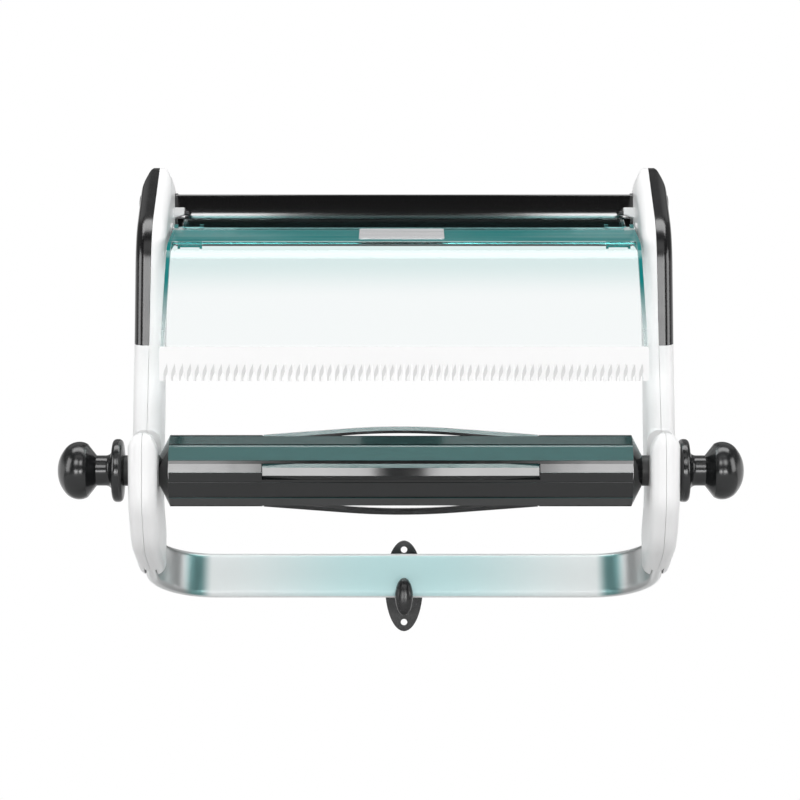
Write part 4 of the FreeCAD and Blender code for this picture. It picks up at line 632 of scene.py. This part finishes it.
BUTTON_FACE = 0.2575
BUTTON_CENTRE = (-0.050, 0.3845)
BUTTON_PROFILE = (
    (0.0115, -0.001),
    (0.0115, 0.0016),
    (0.0109, 0.0032),
    (0.0096, 0.0046),
    (0.0075, 0.0057),
    (0.0048, 0.0063),
    (0.0, 0.0065),
)
BUTTON_STEPS = 48


def corners_of(result):
    """The corners among the items that an operator gives back."""
    return [item for item in result["geom"] if isinstance(item, bmesh.types.BMVert)]


def extrude(shape, outline, shift):
    """A closed bar from one outline, along a straight line."""
    near = shape.faces.new([shape.verts.new(corner) for corner in outline])
    grown = bmesh.ops.extrude_face_region(shape, geom=[near])
    bmesh.ops.translate(shape, verts=corners_of(grown), vec=shift)


def extrude_along(shape, profile, start, end):
    """A closed bar of one side profile between two places from left to right."""
    extrude(shape, [(start, y, z) for y, z in profile], (end - start, 0.0, 0.0))


def arc(centre, radius, first, last, steps):
    """Points on an arc in the side view, its angles down from the front."""
    turns = [math.radians(first + (last - first) * step / steps) for step in range(steps + 1)]
    return [(centre[0] - radius * math.cos(turn), centre[1] - radius * math.sin(turn)) for turn in turns]


def close_shape(name, shape, finish):
    """Turns the faces of a closed shape outwards and keeps it."""
    bmesh.ops.recalc_face_normals(shape, faces=shape.faces)
    return keep_mesh(name, shape, finish)


def smooth(piece, crease):
    """Shades the faces smoothly and keeps the edges that turn by more than the crease."""
    for face in piece.data.polygons:
        face.use_smooth = True
    shape = bmesh.new()
    shape.from_mesh(piece.data)
    for edge in shape.edges:
        edge.smooth = edge.calc_face_angle(0.0) < math.radians(crease)
    shape.to_mesh(piece.data)
    shape.free()


def shape_blade_facets(finish):
    """Leaf-shaped slanted facets, one on the front of each tooth of the tear blade, grey as painted
    shade.
    """
    left = min(x for x, z in FACET_OUTLINE)
    width = max(x for x, z in FACET_OUTLINE) - left
    front = BLADE_FACE - FACET_STEP
    shape = bmesh.new()
    leaf = [(x, front - FACET_RISE * (x - left) / width, z) for x, z in FACET_OUTLINE]
    extrude(shape, leaf, (0.0, FACET_SINK, 0.0))
    bmesh.ops.translate(shape, verts=shape.verts, vec=(FIRST_TOOTH, 0.0, TOOTH_TOP))
    first = list(shape.verts) + list(shape.edges) + list(shape.faces)
    for number in range(1, TOOTH_COUNT):
        copy = bmesh.ops.duplicate(shape, geom=first)
        bmesh.ops.translate(shape, verts=corners_of(copy), vec=(number * TOOTH_PITCH, 0.0, 0.0))
    piece = close_shape("tear_blade_facets", shape, finish)
    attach(piece, "cover")


def shape_crossbar(finish, shaded_finish):
    """Black channel: a flat face with a slightly bowed nose, and a round belly behind a groove."""
    brow_centre = (CROSSBAR_FRONT + BROW_RADIUS, CROSSBAR_TOP - BROW_RADIUS)
    brow = arc(brow_centre, BROW_RADIUS, -90.0, 0.0, BROW_STEPS)
    nose = arc((CROSSBAR_FRONT + NOSE_RADIUS, NOSE_TOP), NOSE_RADIUS, 0.0, NOSE_TURN, NOSE_STEPS)
    lip_y, lip_z = nose[-1]
    inner_front = CROSSBAR_FRONT + CROSSBAR_WALL
    inner_top = CROSSBAR_TOP - CROSSBAR_WALL
    upper = [(0.0, CROSSBAR_TOP), *brow, *nose]
    upper += [(inner_front, lip_z), (inner_front, inner_top), (0.0, inner_top)]
    (rib_front, rib_back), (rib_low, rib_high) = CROSSBAR_RIB
    rib = [(rib_front, rib_low), (rib_front, rib_high), (rib_back, rib_high), (rib_back, rib_low)]
    shape = bmesh.new()
    extrude_along(shape, upper, -CROSSBAR_HALF, CROSSBAR_HALF)
    extrude_along(shape, rib, -CROSSBAR_HALF, CROSSBAR_HALF)
    piece = close_shape("crossbar_extrusion", shape, finish)
    smooth(piece, FLAT_CREASE)
    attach(piece, "frame")
    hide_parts("crossbar")

    outer = arc(BELLY_CENTRE, BELLY_RADIUS, BELLY_START, 90.0, BELLY_STEPS)
    inner = arc(BELLY_CENTRE, BELLY_RADIUS - CROSSBAR_WALL, 90.0, BELLY_START, BELLY_STEPS)
    lower = [(inner_front, lip_z), (lip_y + GROOVE_DEPTH, lip_z), *outer]
    lower += [(0.0, CROSSBAR_BOTTOM), (0.0, CROSSBAR_BOTTOM + CROSSBAR_WALL), *inner]
    shape = bmesh.new()
    extrude_along(shape, lower, -CROSSBAR_HALF, CROSSBAR_HALF)
    for centre in CROSSBAR_PORTS:
        tube = arc(centre, PORT_RADIUS, 0.0, 360.0, PORT_STEPS)
        bore = arc(centre, PORT_BORE, 0.0, 360.0, PORT_STEPS)
        for step in range(PORT_STEPS):
            wall = [tube[step], tube[step + 1], bore[step + 1], bore[step]]
            extrude_along(shape, wall, -CROSSBAR_HALF, CROSSBAR_HALF)
    bmesh.ops.remove_doubles(shape, verts=shape.verts, dist=WELD_REACH)
    # The belly takes the darker, duller black as painted shade
    piece = close_shape("crossbar_belly", shape, shaded_finish)
    smooth(piece, FLAT_CREASE)
    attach(piece, "frame")


def shape_hinge_blocks(finish):
    """Deep teal blocks under the cover's rear corners, above its hinge ears."""
    near, far = HINGE_BLOCK_ENDS
    front, back = HINGE_BLOCK_DEPTHS
    low, high = HINGE_BLOCK_HEIGHTS
    block = [(front, low), (front, high - HINGE_BLOCK_SLANT), (back, high), (back, low)]
    foot_front = front - HINGE_FOOT_STEP
    foot_low = low - HINGE_FOOT_RISE
    foot_high = low + HINGE_FOOT_RISE
    foot = [(foot_front, foot_low), (foot_front, foot_high), (back, foot_high), (back, foot_low)]
    shape = bmesh.new()
    for side in (-1, 1):
        start, end = sorted((side * near, side * far))
        extrude_along(shape, block, start, end)
        for centre in (near + HINGE_FOOT_INSET, far - HINGE_FOOT_INSET):
            extrude_along(shape, foot, side * centre - HINGE_FOOT_HALF, side * centre + HINGE_FOOT_HALF)
    piece = close_shape("hinge_blocks", shape, finish)
    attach(piece, "cover")


def shape_skirts(finish):
    """Raised lower half of the spindle's front faces, beside the front leaf."""
    low, high = SKIRT_HEIGHTS
    front = SPINDLE_FACE - SKIRT_RISE
    skirt = [
        (SPINDLE_FACE, low),
        (front, high - SKIRT_BEVEL),
        (front + SKIRT_BEVEL, high),
        (SPINDLE_FACE + SKIRT_LEDGE, high),
    ]
    shape = bmesh.new()
    for start, end in SKIRT_ENDS:
        extrude_along(shape, skirt, start, end)
    piece = close_shape("spindle_skirts", shape, finish)
    smooth(piece, FLAT_CREASE)
    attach(piece, "spindle")


def shape_hook_head(finish):
    """Domed oval head in front of the wall hook."""
    around, along = HOOK_HEAD_STEPS
    shape = bmesh.new()
    bmesh.ops.create_uvsphere(shape, u_segments=around, v_segments=along, radius=1.0)
    bmesh.ops.scale(shape, verts=shape.verts, vec=HOOK_HEAD_SIZE)
    bmesh.ops.bisect_plane(
        shape,
        geom=list(shape.verts) + list(shape.edges) + list(shape.faces),
        plane_co=(0.0, 0.0, 0.0),
        plane_no=(0.0, 1.0, 0.0),
        clear_outer=True,
    )
    bmesh.ops.holes_fill(shape, edges=[edge for edge in shape.edges if edge.is_boundary], sides=0)
    bmesh.ops.translate(shape, verts=shape.verts, vec=HOOK_HEAD)
    piece = close_shape("hook_head_dome", shape, finish)
    smooth(piece, DOME_CREASE)
    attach(piece, "frame")


def shape_button(side, finish):
    """Domed button over the arm's upper screw, turned from its profile."""
    shape = bmesh.new()
    ring = [shape.verts.new((rise, radius, 0.0)) for radius, rise in BUTTON_PROFILE]
    edges = [shape.edges.new(pair) for pair in zip(ring, ring[1:])]
    bmesh.ops.spin(
        shape,
        geom=ring + edges,
        axis=(1.0, 0.0, 0.0),
        cent=(0.0, 0.0, 0.0),
        angle=math.tau,
        steps=BUTTON_STEPS,
        use_merge=True,
    )
    bmesh.ops.remove_doubles(shape, verts=shape.verts, dist=WELD_REACH)
    bmesh.ops.holes_fill(shape, edges=[edge for edge in shape.edges if edge.is_boundary], sides=0)
    if side < 0:
        bmesh.ops.scale(shape, verts=shape.verts, vec=(-1.0, 1.0, 1.0))
    bmesh.ops.translate(shape, verts=shape.verts, vec=(side * BUTTON_FACE, *BUTTON_CENTRE))
    name = "left" if side < 0 else "right"
    piece = close_shape(f"{name}_arm_button", shape, finish)
    smooth(piece, DOME_CREASE)
    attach(piece, "frame")
    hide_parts(f"{name}_arm_cap")


bpy.context.scene.view_settings.view_transform = "Standard"
set_camera()
set_world()
lay_floor()
for lamp in LAMPS:
    set_lamp(*lamp)
finishes = make_finishes()
dress_frame(finishes)
shape_blade_facets(moulded("painted_shade_facet"))
shape_crossbar(finishes["black_aluminium"], moulded("painted_shade_channel"))
shape_hinge_blocks(moulded("deep_teal"))
shape_skirts(finishes["spindle_plastic"])
shape_hook_head(moulded("hook_gloss"))
for side in (-1, 1):
    shape_button(side, finishes["black_gloss_plastic"])
